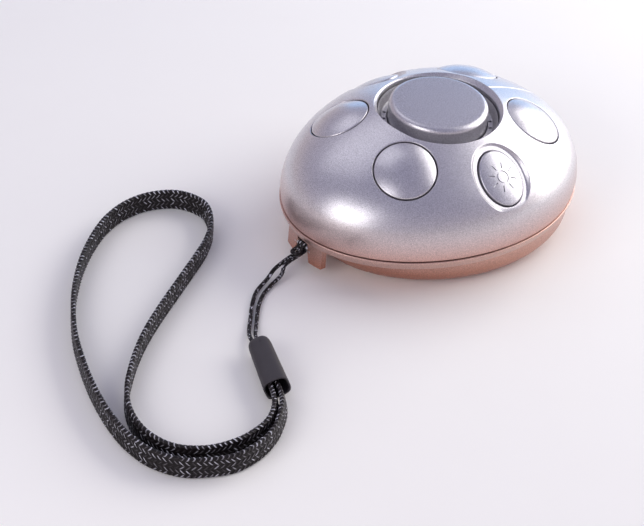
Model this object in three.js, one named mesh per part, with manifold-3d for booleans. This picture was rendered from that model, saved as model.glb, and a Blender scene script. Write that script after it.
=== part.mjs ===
// Palm-size carbon monoxide alarm with a wrist strap: an egg-shaped dome with
// seven round spots, on a shallow bowl that carries the batteries.
// Millimetres, +Z up. The origin is the centre of the flat underside's level,
// -X is the nose with the strap lug, +X is the tail with the torch window.
import * as THREE from 'three';
import { mergeVertices } from 'three/addons/utils/BufferGeometryUtils.js';
import Module from 'manifold-3d';

const wasm = await Module();
wasm.setup();

// ---------------------------------------------------------------- dimensions
const A = 42.77;            // half length of the plan outline
const B = 33.95;            // half width factor of the plan outline
const EGG = 0.058;          // how much wider the tail is than the nose
const SEAM = 12.0;          // height of the joint between the shells
const GAP = 0.15;           // half of the gap at the joint
const RISE = 27.71;         // height of the uncut dome above the joint
const PN = 1.2, PM = 2.755; // dome curve exponents
const WALL = 2.0;           // shell wall
const RIM_Z = 9.3;          // underside of the rim band
const BOWL_X = 2.9, BOWL_L = 38.7, BOWL_W = 32.2; // bowl centre and half sizes
const FLOOR = 3.5;          // inside floor of the bowl

const DISC_X = 0.744;       // centre button axis
const DISC_R = 13.0, DISC_TOP = 36.8, OPEN_R = 16.0;
const MOAT_Z = 31.2;        // floor of the ring groove round the centre button
const CENTRE_TRAVEL = 1.0, SIDE_TRAVEL = 0.8;

const SPOTS = [[-21.12, 13.83], [-21.12, -13.83], [22.68, 13.61], [22.68, -13.61]];
const SPOT_R = 7.9, SPOT_HOLE = 8.25;
const SIDE = [[1.05, -26.38], [1.05, 26.38]];
const BTN_R = 6.9, BTN_HOLE = 7.2, DISH_R = 10.0, DISH_D = 1.5;
const OVAL_U = 0.851, OVAL_V = 1.075; // the two side buttons are oval, longer down the slope

const BOARD_Z = 13.8, BOARD_T = 1.6;
const CELL_R = 5.25, CELL_L = 43.3, CELL_Z = 7.7, CELL_Y = 5.6, CELL_X = 5.0;
const DOOR_W = 24.6, DOOR_T = 1.7, DOOR_END = 32.0;

const STRAP_W = 6.0, STRAP_T = 1.2, STRAP_Z = 3.1;
const CORD_D = 1.0;

// ------------------------------------------------------------------- helpers
const V = (x, y, z) => new THREE.Vector3(x, y, z);
function solid(geo) {
  const g = geo.index ? geo.clone() : geo.clone();
  g.deleteAttribute('normal'); g.deleteAttribute('uv');
  const m = mergeVertices(g, 1e-4);
  return new wasm.Manifold(new wasm.Mesh({
    numProp: 3,
    vertProperties: new Float32Array(m.attributes.position.array),
    triVerts: new Uint32Array(m.index.array),
  }));
}
function geometryOf(man) {
  const m = man.getMesh();
  const g = new THREE.BufferGeometry();
  g.setAttribute('position', new THREE.BufferAttribute(new Float32Array(m.vertProperties), 3));
  g.setIndex(new THREE.BufferAttribute(new Uint32Array(m.triVerts), 1));
  return g;
}
const place = (geo, matrix) => { geo.applyMatrix4(matrix); return geo; };
const move = (geo, x, y, z) => geo.translate(x, y, z);
// Turned solid about +Z from a list of [radius, height], from the axis up and back to the axis.
function turned(profile, n = 32) {
  const g = new THREE.LatheGeometry(profile.map((p) => new THREE.Vector2(p[0], p[1])), n);
  g.rotateX(Math.PI / 2);
  return g;
}
// Turned unit profile warped to the egg plan.
function egg(profile, n, ax, by, x0 = 0, c = EGG) {
  const g = turned(profile, n);
  const p = g.attributes.position;
  for (let i = 0; i < p.count; i++) {
    const x = p.getX(i), y = p.getY(i), s = Math.hypot(x, y);
    const co = s > 1e-9 ? x / s : 0;
    p.setXY(i, x0 + ax * x, by * y * (1 + c * co));
  }
  return g;
}
function box(x0, x1, y0, y1, z0, z1) {
  return move(new THREE.BoxGeometry(x1 - x0, y1 - y0, z1 - z0), (x0 + x1) / 2, (y0 + y1) / 2, (z0 + z1) / 2);
}
function rod(r, z0, z1, x = 0, y = 0, n = 24) {
  const g = new THREE.CylinderGeometry(r, r, z1 - z0, n);
  g.rotateX(Math.PI / 2);
  return move(g, x, y, (z0 + z1) / 2);
}
function plate(points, z0, z1, holes = []) {
  const s = new THREE.Shape(points.map((p) => new THREE.Vector2(p[0], p[1])));
  for (const [x, y, r] of holes) {
    const h = new THREE.Path();
    h.absarc(x, y, r, 0, Math.PI * 2, true);
    s.holes.push(h);
  }
  return move(new THREE.ExtrudeGeometry(s, { depth: z1 - z0, bevelEnabled: false, curveSegments: 6 }), 0, 0, z0);
}
function roundRect(x0, x1, y0, y1, r, n = 4) {
  const out = [];
  for (const [cx, cy, a] of [[x1 - r, y1 - r, 0], [x0 + r, y1 - r, 90], [x0 + r, y0 + r, 180], [x1 - r, y0 + r, 270]]) {
    for (let i = 0; i <= n; i++) {
      const t = (a + 90 * i / n) * Math.PI / 180;
      out.push([cx + r * Math.cos(t), cy + r * Math.sin(t)]);
    }
  }
  return out;
}
function tube(points, r, sides, steps) {
  const curve = new THREE.CatmullRomCurve3(points.map((p) => V(...p)), false, 'centripetal');
  const s = new THREE.Shape();
  for (let i = 0; i < sides; i++) {
    const t = (i + 0.5) * 2 * Math.PI / sides;
    if (i) s.lineTo(r * Math.cos(t), r * Math.sin(t)); else s.moveTo(r * Math.cos(t), r * Math.sin(t));
  }
  s.closePath();
  return new THREE.ExtrudeGeometry(s, { extrudePath: curve, steps, bevelEnabled: false });
}

// ---------------------------------------------------------- dome surface maths
const domeAt = (s) => SEAM + RISE * Math.pow(Math.max(1 - Math.pow(s, PN), 0), 1 / PM);
function domeZ(x, y) {
  let s = Math.hypot(x / A, y / B);
  for (let i = 0; i < 40; i++) {
    const co = Math.max(-1, Math.min(1, x / (A * Math.max(s, 1e-6))));
    s = Math.hypot(x / A, y / (B * (1 + EGG * co)));
  }
  return domeAt(s);
}
function spotMatrix(x, y) {
  const e = 0.05;
  const n = V(-(domeZ(x + e, y) - domeZ(x - e, y)) / (2 * e), -(domeZ(x, y + e) - domeZ(x, y - e)) / (2 * e), 1).normalize();
  const u = V(0, 1, 0).cross(n).normalize();
  const v = n.clone().cross(u);
  return new THREE.Matrix4().makeBasis(u, v, n).setPosition(x, y, domeZ(x, y));
}
function domeProfile(inset, bottom, rows) {
  const pts = [[0, bottom], [1, bottom]];
  if (bottom < SEAM + GAP) pts.push([1, SEAM + GAP + 0.001]);
  for (let i = 1; i < rows; i++) {
    const s = Math.cos((i / rows) * Math.PI / 2 * 0.999);
    pts.push([s, domeAt(s) - inset]);
  }
  pts.push([0, domeAt(0) - inset]);
  return pts;
}

// ------------------------------------------------------------------ top shell
const spotM = SPOTS.map(([x, y]) => spotMatrix(x, y));
const sideM = SIDE.map(([x, y]) => spotMatrix(x, y));
const discAxis = (g) => move(g, DISC_X, 0, 0);
const oval = (g) => g.scale(OVAL_U, OVAL_V, 1);

const domeOuter = solid(egg(domeProfile(0, SEAM + GAP, 12), 56, A, B));
let top = domeOuter;
const cavity = solid(egg(domeProfile(WALL, SEAM - 2, 8), 36, A - WALL, B - WALL));
top = top.subtract(cavity);
// thick rings behind the two dished buttons, posts for their switch boards
for (const m of sideM) {
  const ring = solid(place(rod(11.4, -4.0, 0.5, 0, 0, 24), m)).intersect(domeOuter);
  top = top.add(ring);
  for (const t of [-1, 1]) {
    top = top.add(solid(place(rod(1.5, -11.6, -3.6, 10.0 * t, 0, 10), m)));
  }
}
// screw bosses that meet the bowl's posts
const BOSSES = [[13.5, 23.0, 0], [13.5, -23.0, 0], [-31.0, 0, 2.35]]; // plan position, height of the screw's mouth
for (const [x, y] of BOSSES) {
  const boss = solid(rod(2.5, 13.3, domeZ(x, y) + 2, x, y, 14)).intersect(domeOuter);
  top = top.add(boss).subtract(solid(rod(0.95, 13.0, 20.0, x, y, 10)));
}
// openings
top = top.subtract(solid(discAxis(turned([[0, 26], [OPEN_R, 26], [OPEN_R, 34.4], [OPEN_R + 1.6, 36.2], [OPEN_R + 1.6, 42], [0, 42]], 40))));
for (const m of spotM) top = top.subtract(solid(place(rod(SPOT_HOLE, -9, 3, 0, 0, 24), m)));
for (const m of sideM) {
  top = top.subtract(solid(place(oval(turned([[0, -6], [BTN_HOLE, -6], [BTN_HOLE, -DISH_D], [8.6, -DISH_D], [DISH_R, -0.2], [DISH_R + 0.5, 0.9], [DISH_R + 0.5, 4], [0, 4]], 28)), m)));
}
// torch window in the tail
const WIN = 0.40; // half angle of the window on the plan outline, in radians
const winWedge = plate([[0, 0], [60 * Math.cos(-WIN), 60 * Math.sin(-WIN)], [60, 0], [60 * Math.cos(WIN), 60 * Math.sin(WIN)]], SEAM - 1, 16.6);
top = top.subtract(solid(winWedge));

// --------------------------------------------------------------- bottom shell
const rimOuter = solid(egg([[0, RIM_Z], [0.975, RIM_Z], [0.988, RIM_Z + 0.5], [1, SEAM - GAP], [0, SEAM - GAP]], 56, A, B));
const bowlOuter = solid(egg([[0, 0], [0.84, 0], [0.885, 0.8], [0.946, 2.4], [0.988, 5.2], [1, RIM_Z + 0.2], [0, RIM_Z + 0.2]], 48, BOWL_L, BOWL_W, BOWL_X));
let bottom = rimOuter.add(bowlOuter);
bottom = bottom.subtract(solid(egg([[0, FLOOR], [0.9, FLOOR], [0.97, 5.2], [1, RIM_Z + 1.5], [1, 13], [0, 13]], 32, BOWL_L - 2.4, BOWL_W - 2.4, BOWL_X)));
bottom = bottom.subtract(solid(egg([[0, RIM_Z + 1.5], [1, RIM_Z + 1.5], [1, 13], [0, 13]], 36, A - WALL - 0.3, B - WALL - 0.3)));
// locating lip inside the joint, cut away behind the torch window
const lip = solid(egg([[0, RIM_Z + 1.4], [1, RIM_Z + 1.4], [1, 13.2], [0, 13.2]], 36, A - WALL - 0.35, B - WALL - 0.35))
  .subtract(solid(egg([[0, 9], [1, 9], [1, 14], [0, 14]], 36, A - WALL - 1.5, B - WALL - 1.5)))
  .subtract(solid(box(28, 60, -18.5, 18.5, SEAM - GAP - 0.01, 14)));
bottom = bottom.add(lip);
// screw posts from the floor up to the joint, board posts
for (const [x, y, z] of BOSSES) {
  bottom = bottom.add(solid(rod(z < 1 ? 2.5 : 3.4, z + 0.6, z < 1 ? 12.9 : 6.5, x, y, 14)));
  bottom = bottom.add(solid(rod(2.5, z + 0.6, 12.9, x, y, 14)));
  bottom = bottom.subtract(solid(rod(1.2, z - 1, 14, x, y, 10)));
  bottom = bottom.subtract(solid(rod(2.4, z - 1, z + 2.4, x, y, 16)));
}
const BOARD_POSTS = [[-25.5, 0], [34.0, 0]];
for (const [x, y] of BOARD_POSTS) {
  bottom = bottom.add(solid(rod(2.4, 2.6, BOARD_Z - 0.3, x, y, 12))).subtract(solid(rod(0.75, x < 0 ? 10.5 : 7.5, 15, x, y, 8)));
}
// battery opening and the pocket that the door slides in
bottom = bottom.subtract(solid(box(CELL_X - CELL_L / 2 - 3.2, CELL_X + CELL_L / 2 + 2.2, -11.3, 11.3, -1, 6)));
bottom = bottom.subtract(solid(box(-40, DOOR_END + 0.3, -DOOR_W / 2 - 0.3, DOOR_W / 2 + 0.3, -1, DOOR_T + 0.65)));
bottom = bottom.subtract(solid(box(-40, DOOR_END + 0.3, -DOOR_W / 2 - 1.25, DOOR_W / 2 + 1.25, 0.95, DOOR_T + 0.65)));
// strap lug under the nose: a wall with a notch, crossed by the pin
const LUG_X1 = -38.5, LUG_Z = 3.1;
let lug = solid(egg([[0, LUG_Z], [1, LUG_Z], [1, RIM_Z + 0.2], [0, RIM_Z + 0.2]], 56, A - 1.5, B - 1.5))
  .intersect(solid(box(-60, LUG_X1, -7.0, 7.2, LUG_Z, RIM_Z + 0.2)));
const notch = plate([[-3.2, 0], [4.0, 0], [2.5, 3.6], [2.1, 6.6], [-2.1, 6.6], [-2.4, 3.6]], -50, -30);
notch.rotateX(Math.PI / 2); notch.rotateZ(Math.PI / 2); // outline now lies across X
notch.translate(0, 0, LUG_Z - 1);
lug = lug.subtract(solid(notch));
const PIN_X = -40.3, PIN_Z = 6.6, PIN_R = 0.8;
const pinBore = rod(PIN_R + 0.05, -3.6, 3.6, 0, 0, 12); pinBore.rotateX(Math.PI / 2); pinBore.translate(PIN_X, 0, PIN_Z);
lug = lug.subtract(solid(pinBore));
bottom = bottom.add(lug);

// ---------------------------------------------------------------- small parts
const button = (r, crown, rim, flangeR, flangeTop, flangeBottom, stemEnd, n) => turned([
  [0, stemEnd], [1.6, stemEnd], [1.6, flangeBottom], [flangeR, flangeBottom], [flangeR, flangeTop], [r, flangeTop],
  [r, rim - 0.3], [r - 0.35, rim], [r * 0.55, rim + (crown - rim) * 0.75], [0, crown]], n);
const sideButton = oval(button(BTN_R, -0.3, -0.75, 7.5, -4.5, -5.4, -7.5, 20));
const spotCap = turned([[0, -1.4], [6.4, -1.4], [6.4, -5.2], [8.6, -5.2], [8.6, -4.3], [SPOT_R, -4.3], [SPOT_R, -0.75], [SPOT_R - 0.4, -0.35],
  [SPOT_R * 0.6, 0.7], [0, 1.15]], 22);
const centreButton = discAxis(turned([[0, 22.6], [1.8, 22.6], [1.8, 33.0], [11.3, 33.0], [11.3, 28.2], [14.0, 28.2], [14.0, 29.3], [DISC_R, 29.3],
  [DISC_R, DISC_TOP - 1.1], [DISC_R - 0.35, DISC_TOP - 0.35], [DISC_R - 1.1, DISC_TOP], [0, DISC_TOP]], 36));
let soundRing = solid(discAxis(turned([[13.35, MOAT_Z - 1.1], [15.2, MOAT_Z - 1.1], [15.2, 29.7], [16.2, 29.7], [16.2, MOAT_Z - 0.7], [15.8, MOAT_Z - 0.3], [15.8, 33.2], [15.6, 33.2], [14.5, MOAT_Z], [13.35, MOAT_Z], [13.35, MOAT_Z - 1.1]], 36)));
for (let i = 0; i < 12; i++) {
  const t = (i + 0.5) * Math.PI / 6;
  soundRing = soundRing.subtract(solid(rod(0.42, 28, 33, DISC_X + 13.95 * Math.cos(t), 13.95 * Math.sin(t), 6)));
}

// battery door: a plate with side tongues, its nose end follows the bowl
let door = bowlOuter.intersect(solid(box(-40, DOOR_END, -DOOR_W / 2, DOOR_W / 2, 0.25, DOOR_T + 0.35)))
  .add(bowlOuter.intersect(solid(box(-19, DOOR_END, -DOOR_W / 2 - 0.95, DOOR_W / 2 + 0.95, 1.25, DOOR_T + 0.35))));
for (let i = 0; i < 5; i++) {
  door = door.subtract(solid(box(-14 + 2 * i, -13.1 + 2 * i, -5, 5, 0, 0.65)));
}

const board = plate(roundRect(-28.1, 37.0, -12.2, 12.2, 5), BOARD_Z, BOARD_Z + BOARD_T, [[-25.5, 0, 1.15], [34.0, 0, 1.15]]);
const sideBoard = (() => {
  let s = solid(rod(7.4, -12.9, -11.9, 0, 0, 16)).add(solid(box(-11.8, 11.8, -2.2, 2.2, -12.9, -11.9)));
  return geometryOf(s);
})();
const sideSwitch = geometryOf(solid(box(-3, 3, -3, 3, -11.6, -9.2)).subtract(solid(rod(1.8, -11.2, -8, 0, 0, 10))));
const sidePlunger = rod(1.5, -10.2, -7.8, 0, 0, 10);
const testSwitch = geometryOf(solid(box(DISC_X - 3, DISC_X + 3, -3, 3, BOARD_Z + BOARD_T + 0.3, 20.6)).subtract(solid(rod(1.9, 17.4, 22, DISC_X, 0, 10))));

const lens = (() => {
  const wedge = plate([[20, 0], [60 * Math.cos(-WIN + 0.008), 60 * Math.sin(-WIN + 0.008)], [60, 0], [60 * Math.cos(WIN - 0.008), 60 * Math.sin(WIN - 0.008)]], SEAM + GAP, 16.3);
  const outer = solid(egg([[0, SEAM], [1, SEAM], [0.999, 13.5], [0.994, 16.4], [0, 16.4]], 56, A - 0.15, B - 0.15));
  const inner = solid(egg([[0, SEAM - 1], [1, SEAM - 1], [1, 17], [0, 17]], 40, A - 2.1, B - 2.1));
  return outer.subtract(inner).intersect(solid(wedge));
})();

const screw = (headR, headH, r, len, n = 12) => turned([[0, 0], [headR * 0.5, 0], [headR * 0.5, 0.5], [headR, 0.5], [headR, headH], [r, headH], [r, len - 1], [0.25, len], [0, len]], n);
const cell = (() => {
  const g = turned([[0, -CELL_L / 2], [3.2, -CELL_L / 2], [CELL_R - 0.25, -CELL_L / 2 + 0.2], [CELL_R, -CELL_L / 2 + 0.7], [CELL_R, CELL_L / 2 - 0.7], [CELL_R - 0.4, CELL_L / 2 - 0.2],
    [1.9, CELL_L / 2 - 0.2], [1.9, CELL_L / 2 + 0.9], [0, CELL_L / 2 + 0.9]], 18);
  return g;
})();
function coil(r, wire, turns, z0, z1) {
  const pts = [];
  const n = turns * 8;
  for (let i = 0; i <= n; i++) {
    const t = i / n;
    pts.push([r * (1 - 0.35 * t) * Math.cos(t * turns * 2 * Math.PI), r * (1 - 0.35 * t) * Math.sin(t * turns * 2 * Math.PI), z0 + (z1 - z0) * t]);
  }
  return tube(pts, wire, 5, n);
}

// ---------------------------------------------------------------- wrist strap
// Plan route of the strap on its edge, from the crimp's mouth round and back.
const STRAP_ROUTE = [[-76.4, -32.5], [-78.1, -37.1], [-79.6, -40.7], [-81.7, -43.7], [-84.3, -46], [-87.6, -47.8], [-91.7, -48.9], [-96.1, -49.5], [-103.7, -48.2], [-109.9, -43.5], [-112.5, -36.2], [-111.7, -28.4], [-108.3, -21.4], [-103.3, -15.3], [-97.7, -9.8], [-91.7, -4.8], [-85.3, -0.3], [-78.7, 4], [-72.1, 8.2], [-65.5, 12.4], [-59.1, 17], [-53.7, 22.7], [-51.1, 30], [-54.1, 36.9], [-61, 40.4], [-68.8, 40.6], [-76.2, 38], [-82.8, 33.8], [-88.8, 28.7], [-94.2, 23.1], [-99.1, 17], [-103.4, 10.4], [-107.2, 3.5], [-110.2, -3.7], [-112.8, -11.1], [-114.8, -18.7], [-116.2, -26.4], [-116.5, -34.2], [-115, -41.9], [-110.7, -48.4], [-104, -52.4], [-99.2, -53.8], [-94.1, -53.5], [-89.3, -52.2], [-85.2, -50.4], [-81.9, -47.9], [-79.1, -45], [-77, -41.6], [-75.7, -38.1], [-74, -33.3]];
const CORD_ROUTE = [[-72.5, -24, 2.9], [-71.3, -20.8, 2.6], [-69.6, -17, 1.6], [-67.1, -13.6, 0.8], [-64.4, -10.4, 0.65], [-61.4, -6.8, 0.65], [-57.2, -3, 0.65], [-52.4, -1, 1.4], [-48.2, -0.3, 3], [-45, 0.2, 4.8], [-42.7, 0.65, 6.5], [-41.5, 0.7, 7.6], [-40.3, 0.7, 8.05], [-39.25, 0.6, 7.6], [-38.85, 0.35, 6.6], [-39.25, 0, 5.55], [-40.3, -0.4, 5.15], [-41.7, -0.7, 5], [-43.4, -1, 4.3], [-45.6, -1.4, 3.2], [-48.8, -2, 1.8], [-53, -3.2, 0.75], [-56.6, -5, 0.65], [-60.2, -8, 0.65], [-63.5, -11.8, 0.65], [-66, -14.9, 0.9], [-68.4, -18, 1.7], [-70.1, -21.3, 2.6], [-71.3, -24.4, 2.9]];
function band(route, t, steps) {
  const curve = new THREE.CatmullRomCurve3(route.map((p) => V(p[0], p[1], 0)), false, 'centripetal');
  const L = [], R = [];
  for (let i = 0; i <= steps; i++) {
    const p = curve.getPointAt(i / steps), d = curve.getTangentAt(i / steps);
    L.push([p.x - d.y * t / 2, p.y + d.x * t / 2]);
    R.push([p.x + d.y * t / 2, p.y - d.x * t / 2]);
  }
  return plate(L.concat(R.reverse()), STRAP_Z - STRAP_W / 2, STRAP_Z + STRAP_W / 2);
}
const CRIMP_A = [-71.2, -22.2], CRIMP_B = [-76.9, -37.6]; // cord end and mouth, on the axis
const crimp = (() => {
  const dx = CRIMP_B[0] - CRIMP_A[0], dy = CRIMP_B[1] - CRIMP_A[1], len = Math.hypot(dx, dy);
  const s = [[0, -1.2], [0.9, -2.1], [2.6, -2.9], [len, -3.4], [len, 3.4], [2.6, 2.9], [0.9, 2.1], [0, 1.2]];
  let c = solid(plate(s, 0.05, 6.7));
  c = c.subtract(solid(plate([[len - 6.5, -2.35], [len + 1, -2.6], [len + 1, 2.6], [len - 6.5, 2.35]], -0.4, 6.35)));
  c = c.subtract(solid(box(-1, 4.2, -1.6, 1.6, 1.7, 4.1)));
  const g = geometryOf(c);
  g.rotateZ(Math.atan2(dy, dx));
  return move(g, CRIMP_A[0], CRIMP_A[1], 0);
})();

// -------------------------------------------------------------------- assembly
const root = new THREE.Group();
function add(name, geo, color, roughness, metalness, matrix) {
  const g = geo.isBufferGeometry ? geo : geometryOf(geo);
  const mesh = new THREE.Mesh(g, new THREE.MeshStandardMaterial({ color, roughness, metalness }));
  mesh.name = name;
  if (matrix) { matrix.decompose(mesh.position, mesh.quaternion, mesh.scale); }
  root.add(mesh);
  return mesh;
}
const SILVER = 0xc4c2c8, DARK = 0x2a2b2e, BLACK = 0x111214, GREEN = 0x1f5a3a, STEEL = 0xb9bcc0;
add('top_shell', top, SILVER, 0.32, 0.85);
add('bottom_shell', bottom, 0xbfb4b6, 0.35, 0.8);
add('centre_button', centreButton, SILVER, 0.3, 0.85);
add('sound_ring', soundRing, 0xa9a9ad, 0.4, 0.7);
spotM.forEach((m, i) => add(`spot_cap_${i + 1}`, spotCap.clone(), SILVER, 0.3, 0.85, m));
['torch', 'mode'].forEach((k, i) => {
  add(`${k}_button`, sideButton.clone(), 0xb4b2b8, 0.35, 0.8, sideM[i]);
  add(`${k}_switch_plunger`, sidePlunger.clone(), BLACK, 0.5, 0, sideM[i]);
  add(`${k}_switch`, sideSwitch.clone(), STEEL, 0.35, 0.9, sideM[i]);
  add(`${k}_switch_board`, sideBoard.clone(), GREEN, 0.5, 0, sideM[i]);
});
add('main_board', board, GREEN, 0.5, 0);
add('test_switch', testSwitch, STEEL, 0.35, 0.9);
add('test_switch_plunger', rod(1.6, 18.9, 22.3, DISC_X, 0, 10), BLACK, 0.5, 0);
add('sounder', move(turned([[0, 0], [9.6, 0], [9.6, 6.6], [8.9, 7.3], [2.0, 7.3], [2.0, 4.5], [0, 4.5]], 22), -14.0, 0, BOARD_Z + BOARD_T + 0.3), BLACK, 0.45, 0);
add('co_sensor', move(turned([[0, 0], [6.6, 0], [6.6, 1.0], [6.2, 1.0], [6.2, 8.6], [5.6, 9.2], [3.2, 9.2], [3.2, 8.4], [0, 8.4]], 20), 15.6, 0, BOARD_Z + BOARD_T + 0.3), STEEL, 0.3, 0.9);
add('sensor_gasket', move(turned([[3.4, 0], [5.3, 0], [5.3, 1.2], [3.4, 1.2], [3.4, 0]], 18), 15.6, 0, BOARD_Z + BOARD_T + 0.3 + 9.5), 0x303236, 0.9, 0);
add('controller_chip', box(22.6 + 1, 29.6, -3.5, 3.5, BOARD_Z + BOARD_T + 0.3, BOARD_Z + BOARD_T + 1.7), BLACK, 0.5, 0);
add('status_led', move(turned([[0, 0], [1.7, 0], [1.7, 0.8], [1.45, 0.8], [1.45, 2.6], [1.0, 3.6], [0, 4.0]], 12), 6.5, -8.6, BOARD_Z + BOARD_T + 0.3), 0xb03028, 0.2, 0);
add('capacitor', move(turned([[0, 0], [2.0, 0], [2.0, 5.4], [1.7, 5.7], [0, 5.7]], 12), 6.6, 8.4, BOARD_Z + BOARD_T + 0.3), 0x24344a, 0.35, 0.2);

const alongX = (x, y, z, flip) => new THREE.Matrix4().makeRotationY(flip ? -Math.PI / 2 : Math.PI / 2).setPosition(x, y, z);
add('battery_left', cell.clone(), 0xc9a24a, 0.35, 0.8, alongX(CELL_X, CELL_Y, CELL_Z, false));
add('battery_right', cell.clone(), 0xc9a24a, 0.35, 0.8, alongX(CELL_X, -CELL_Y, CELL_Z, true));
add('battery_spring_left', coil(3.4, 0.3, 3, 0, 2.2), STEEL, 0.3, 1, alongX(CELL_X - CELL_L / 2 - 2.85, CELL_Y, CELL_Z, false));
add('contact_front', box(CELL_X - CELL_L / 2 - 4.1, CELL_X - CELL_L / 2 - 3.6, -10.4, 10.4, 3.9, 12.4), STEEL, 0.3, 1);
add('contact_rear', box(CELL_X + CELL_L / 2 + 1.4, CELL_X + CELL_L / 2 + 1.9, -10.4, 10.4, 3.0, 12.4), STEEL, 0.3, 1);
add('battery_door', door, 0xb8aeb0, 0.4, 0.75);

add('torch_lens', lens, 0xdfe4ea, 0.08, 0);
[-7.0, 7.0].forEach((y, i) => {
  const m = new THREE.Matrix4().makeRotationY(Math.PI / 2).setPosition(34.0, y, 17.8);
  add(`torch_led_${i + 1}`, turned([[0, 0], [1.9, 0], [1.9, 0.9], [1.5, 0.9], [1.5, 2.8], [0.9, 3.7], [0, 3.95]], 12), 0xf2f2e8, 0.15, 0, m);
});

BOSSES.forEach(([x, y, z], i) => add(`case_screw_${i + 1}`, move(screw(2.1, 1.7, 0.8, z < 1 ? 17 : 14, 10), x, y, z + 0.5), STEEL, 0.35, 0.95));
BOARD_POSTS.forEach(([x, y], i) => {
  const g = screw(1.9, 1.5, 0.5, x < 0 ? 5.4 : 8.0, 10); g.rotateX(Math.PI);
  add(`board_screw_${i + 1}`, move(g, x, y, BOARD_Z + BOARD_T + 1.8), STEEL, 0.35, 0.95);
});
const pin = rod(PIN_R, -3.3, 3.3, 0, 0, 12); pin.rotateX(Math.PI / 2); pin.translate(PIN_X, 0, PIN_Z);
add('lug_pin', pin, STEEL, 0.3, 1);

add('strap_cord', tube(CORD_ROUTE, CORD_D / 2, 8, 64), BLACK, 0.7, 0);
add('strap_crimp', crimp, DARK, 0.6, 0);
add('wrist_strap', band(STRAP_ROUTE, STRAP_T, 76), BLACK, 0.7, 0);

export default root;
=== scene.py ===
import bpy, bmesh, math, json
import numpy as np
from mathutils import Vector, Matrix
from mathutils.geometry import delaunay_2d_cdt


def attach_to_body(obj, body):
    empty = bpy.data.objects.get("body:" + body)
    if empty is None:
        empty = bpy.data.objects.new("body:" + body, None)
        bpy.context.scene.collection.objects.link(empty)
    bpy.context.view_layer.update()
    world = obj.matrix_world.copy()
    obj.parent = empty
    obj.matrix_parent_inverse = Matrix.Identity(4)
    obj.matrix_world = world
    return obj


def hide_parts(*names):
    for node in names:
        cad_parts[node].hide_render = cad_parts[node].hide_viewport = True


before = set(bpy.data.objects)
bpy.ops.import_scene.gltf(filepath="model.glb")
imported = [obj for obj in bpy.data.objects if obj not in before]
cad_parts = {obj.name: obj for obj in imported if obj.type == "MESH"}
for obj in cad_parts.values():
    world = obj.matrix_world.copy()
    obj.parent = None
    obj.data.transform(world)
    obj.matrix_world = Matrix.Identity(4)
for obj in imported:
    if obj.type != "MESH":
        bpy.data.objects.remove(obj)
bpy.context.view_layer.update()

MM = 0.001
scene = bpy.context.scene

# ------------------------------------------------------------------ camera
AZ, EL, ROLL = math.radians(-40.297), math.radians(37.822), math.radians(5.276)
F_PX, TX, TY, D0 = 2070.044, 108.003, -88.648, 550.0
r_ = np.array([math.cos(AZ), math.sin(AZ), 0.0])
f_ = np.array([-math.sin(AZ) * math.cos(EL), math.cos(AZ) * math.cos(EL), -math.sin(EL)])
u_ = np.cross(r_, f_)
right = math.cos(ROLL) * r_ + math.sin(ROLL) * u_
up = -math.sin(ROLL) * r_ + math.cos(ROLL) * u_
cam_pos = np.array([0.744, 0.0, 13.732]) - (right * TX / F_PX * D0 + up * (-TY) / F_PX * D0 + f_ * D0)
cam_data = bpy.data.cameras.new("camera")
cam = bpy.data.objects.new("camera", cam_data)
scene.collection.objects.link(cam)
cam_data.sensor_fit = "HORIZONTAL"
cam_data.sensor_width = 36.0
cam_data.lens = F_PX * 36.0 / 644.0
cam_data.clip_start, cam_data.clip_end = 0.01, 20.0
M = Matrix((tuple(right), tuple(up), tuple(-f_))).transposed().to_4x4()
M.translation = Vector(cam_pos * MM)
cam.matrix_world = M
scene.camera = cam

# --------------------------------------------------------------- dimensions
A, B, EGG = 42.77, 33.95, 0.058
SEAM, RISE, PN, PM, WALL = 12.0, 27.71, 1.2, 2.755, 2.0
RIM_Z, FLOOR = 9.3, 3.5
BOWL_X, BOWL_L, BOWL_W = 2.9, 38.7, 32.2
DISC_X, DISC_R, DISC_TOP, OPEN_R, MOAT_Z = 0.744, 13.0, 36.8, 16.0, 31.2
SPOTS = [(-21.12, 13.83), (-21.12, -13.83), (22.68, 13.61), (22.68, -13.61)]
SPOT_R, SPOT_HOLE = 7.9, 8.25
SIDE = [(1.05, -26.38), (1.05, 26.38)]
BTN_R, BTN_HOLE, DISH_D = 6.9, 7.2, 1.5
OVAL_U, OVAL_V = 0.851, 1.075
WIN = 0.40
STRAP_W, STRAP_T, STRAP_Z, CORD_D = 6.0, 1.2, 3.1, 1.0
CRIMP_A, CRIMP_B = np.array([-71.2, -22.2]), np.array([-76.9, -37.6])
STRAP_ROUTE = [
    (-76.0, -32.7), (-77.75, -37.3), (-79.25, -40.95), (-81.3, -44.05), (-83.9, -46.45), (-87.3, -48.35), (-91.5, -49.4), (-96.1, -49.8),
    (-103.7, -48.2), (-109.9, -43.5), (-112.5, -36.2), (-111.7, -28.4), (-108.3, -21.4), (-103.3, -15.3), (-97.7, -9.8), (-91.7, -4.8),
    (-85.3, -0.3), (-78.7, 4), (-72.1, 8.2), (-65.5, 12.4), (-59.1, 17), (-53.7, 22.7), (-51.1, 30), (-54.1, 36.9),
    (-61, 40.4), (-68.8, 40.6), (-76.2, 38), (-82.8, 33.8), (-88.8, 28.7), (-94.2, 23.1), (-99.1, 17), (-103.4, 10.4),
    (-107.2, 3.5), (-110.2, -3.7), (-112.8, -11.1), (-114.8, -18.7), (-116.2, -26.4), (-116.5, -34.2), (-115, -41.9), (-110.7, -48.4),
    (-104, -52.4), (-99.2, -53.8), (-94.1, -53.5), (-89.3, -52.2), (-85.45, -50.15), (-82.3, -47.55), (-79.55, -44.7), (-77.4, -41.45),
    (-75.95, -37.95), (-74.3, -33.2)]
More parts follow.
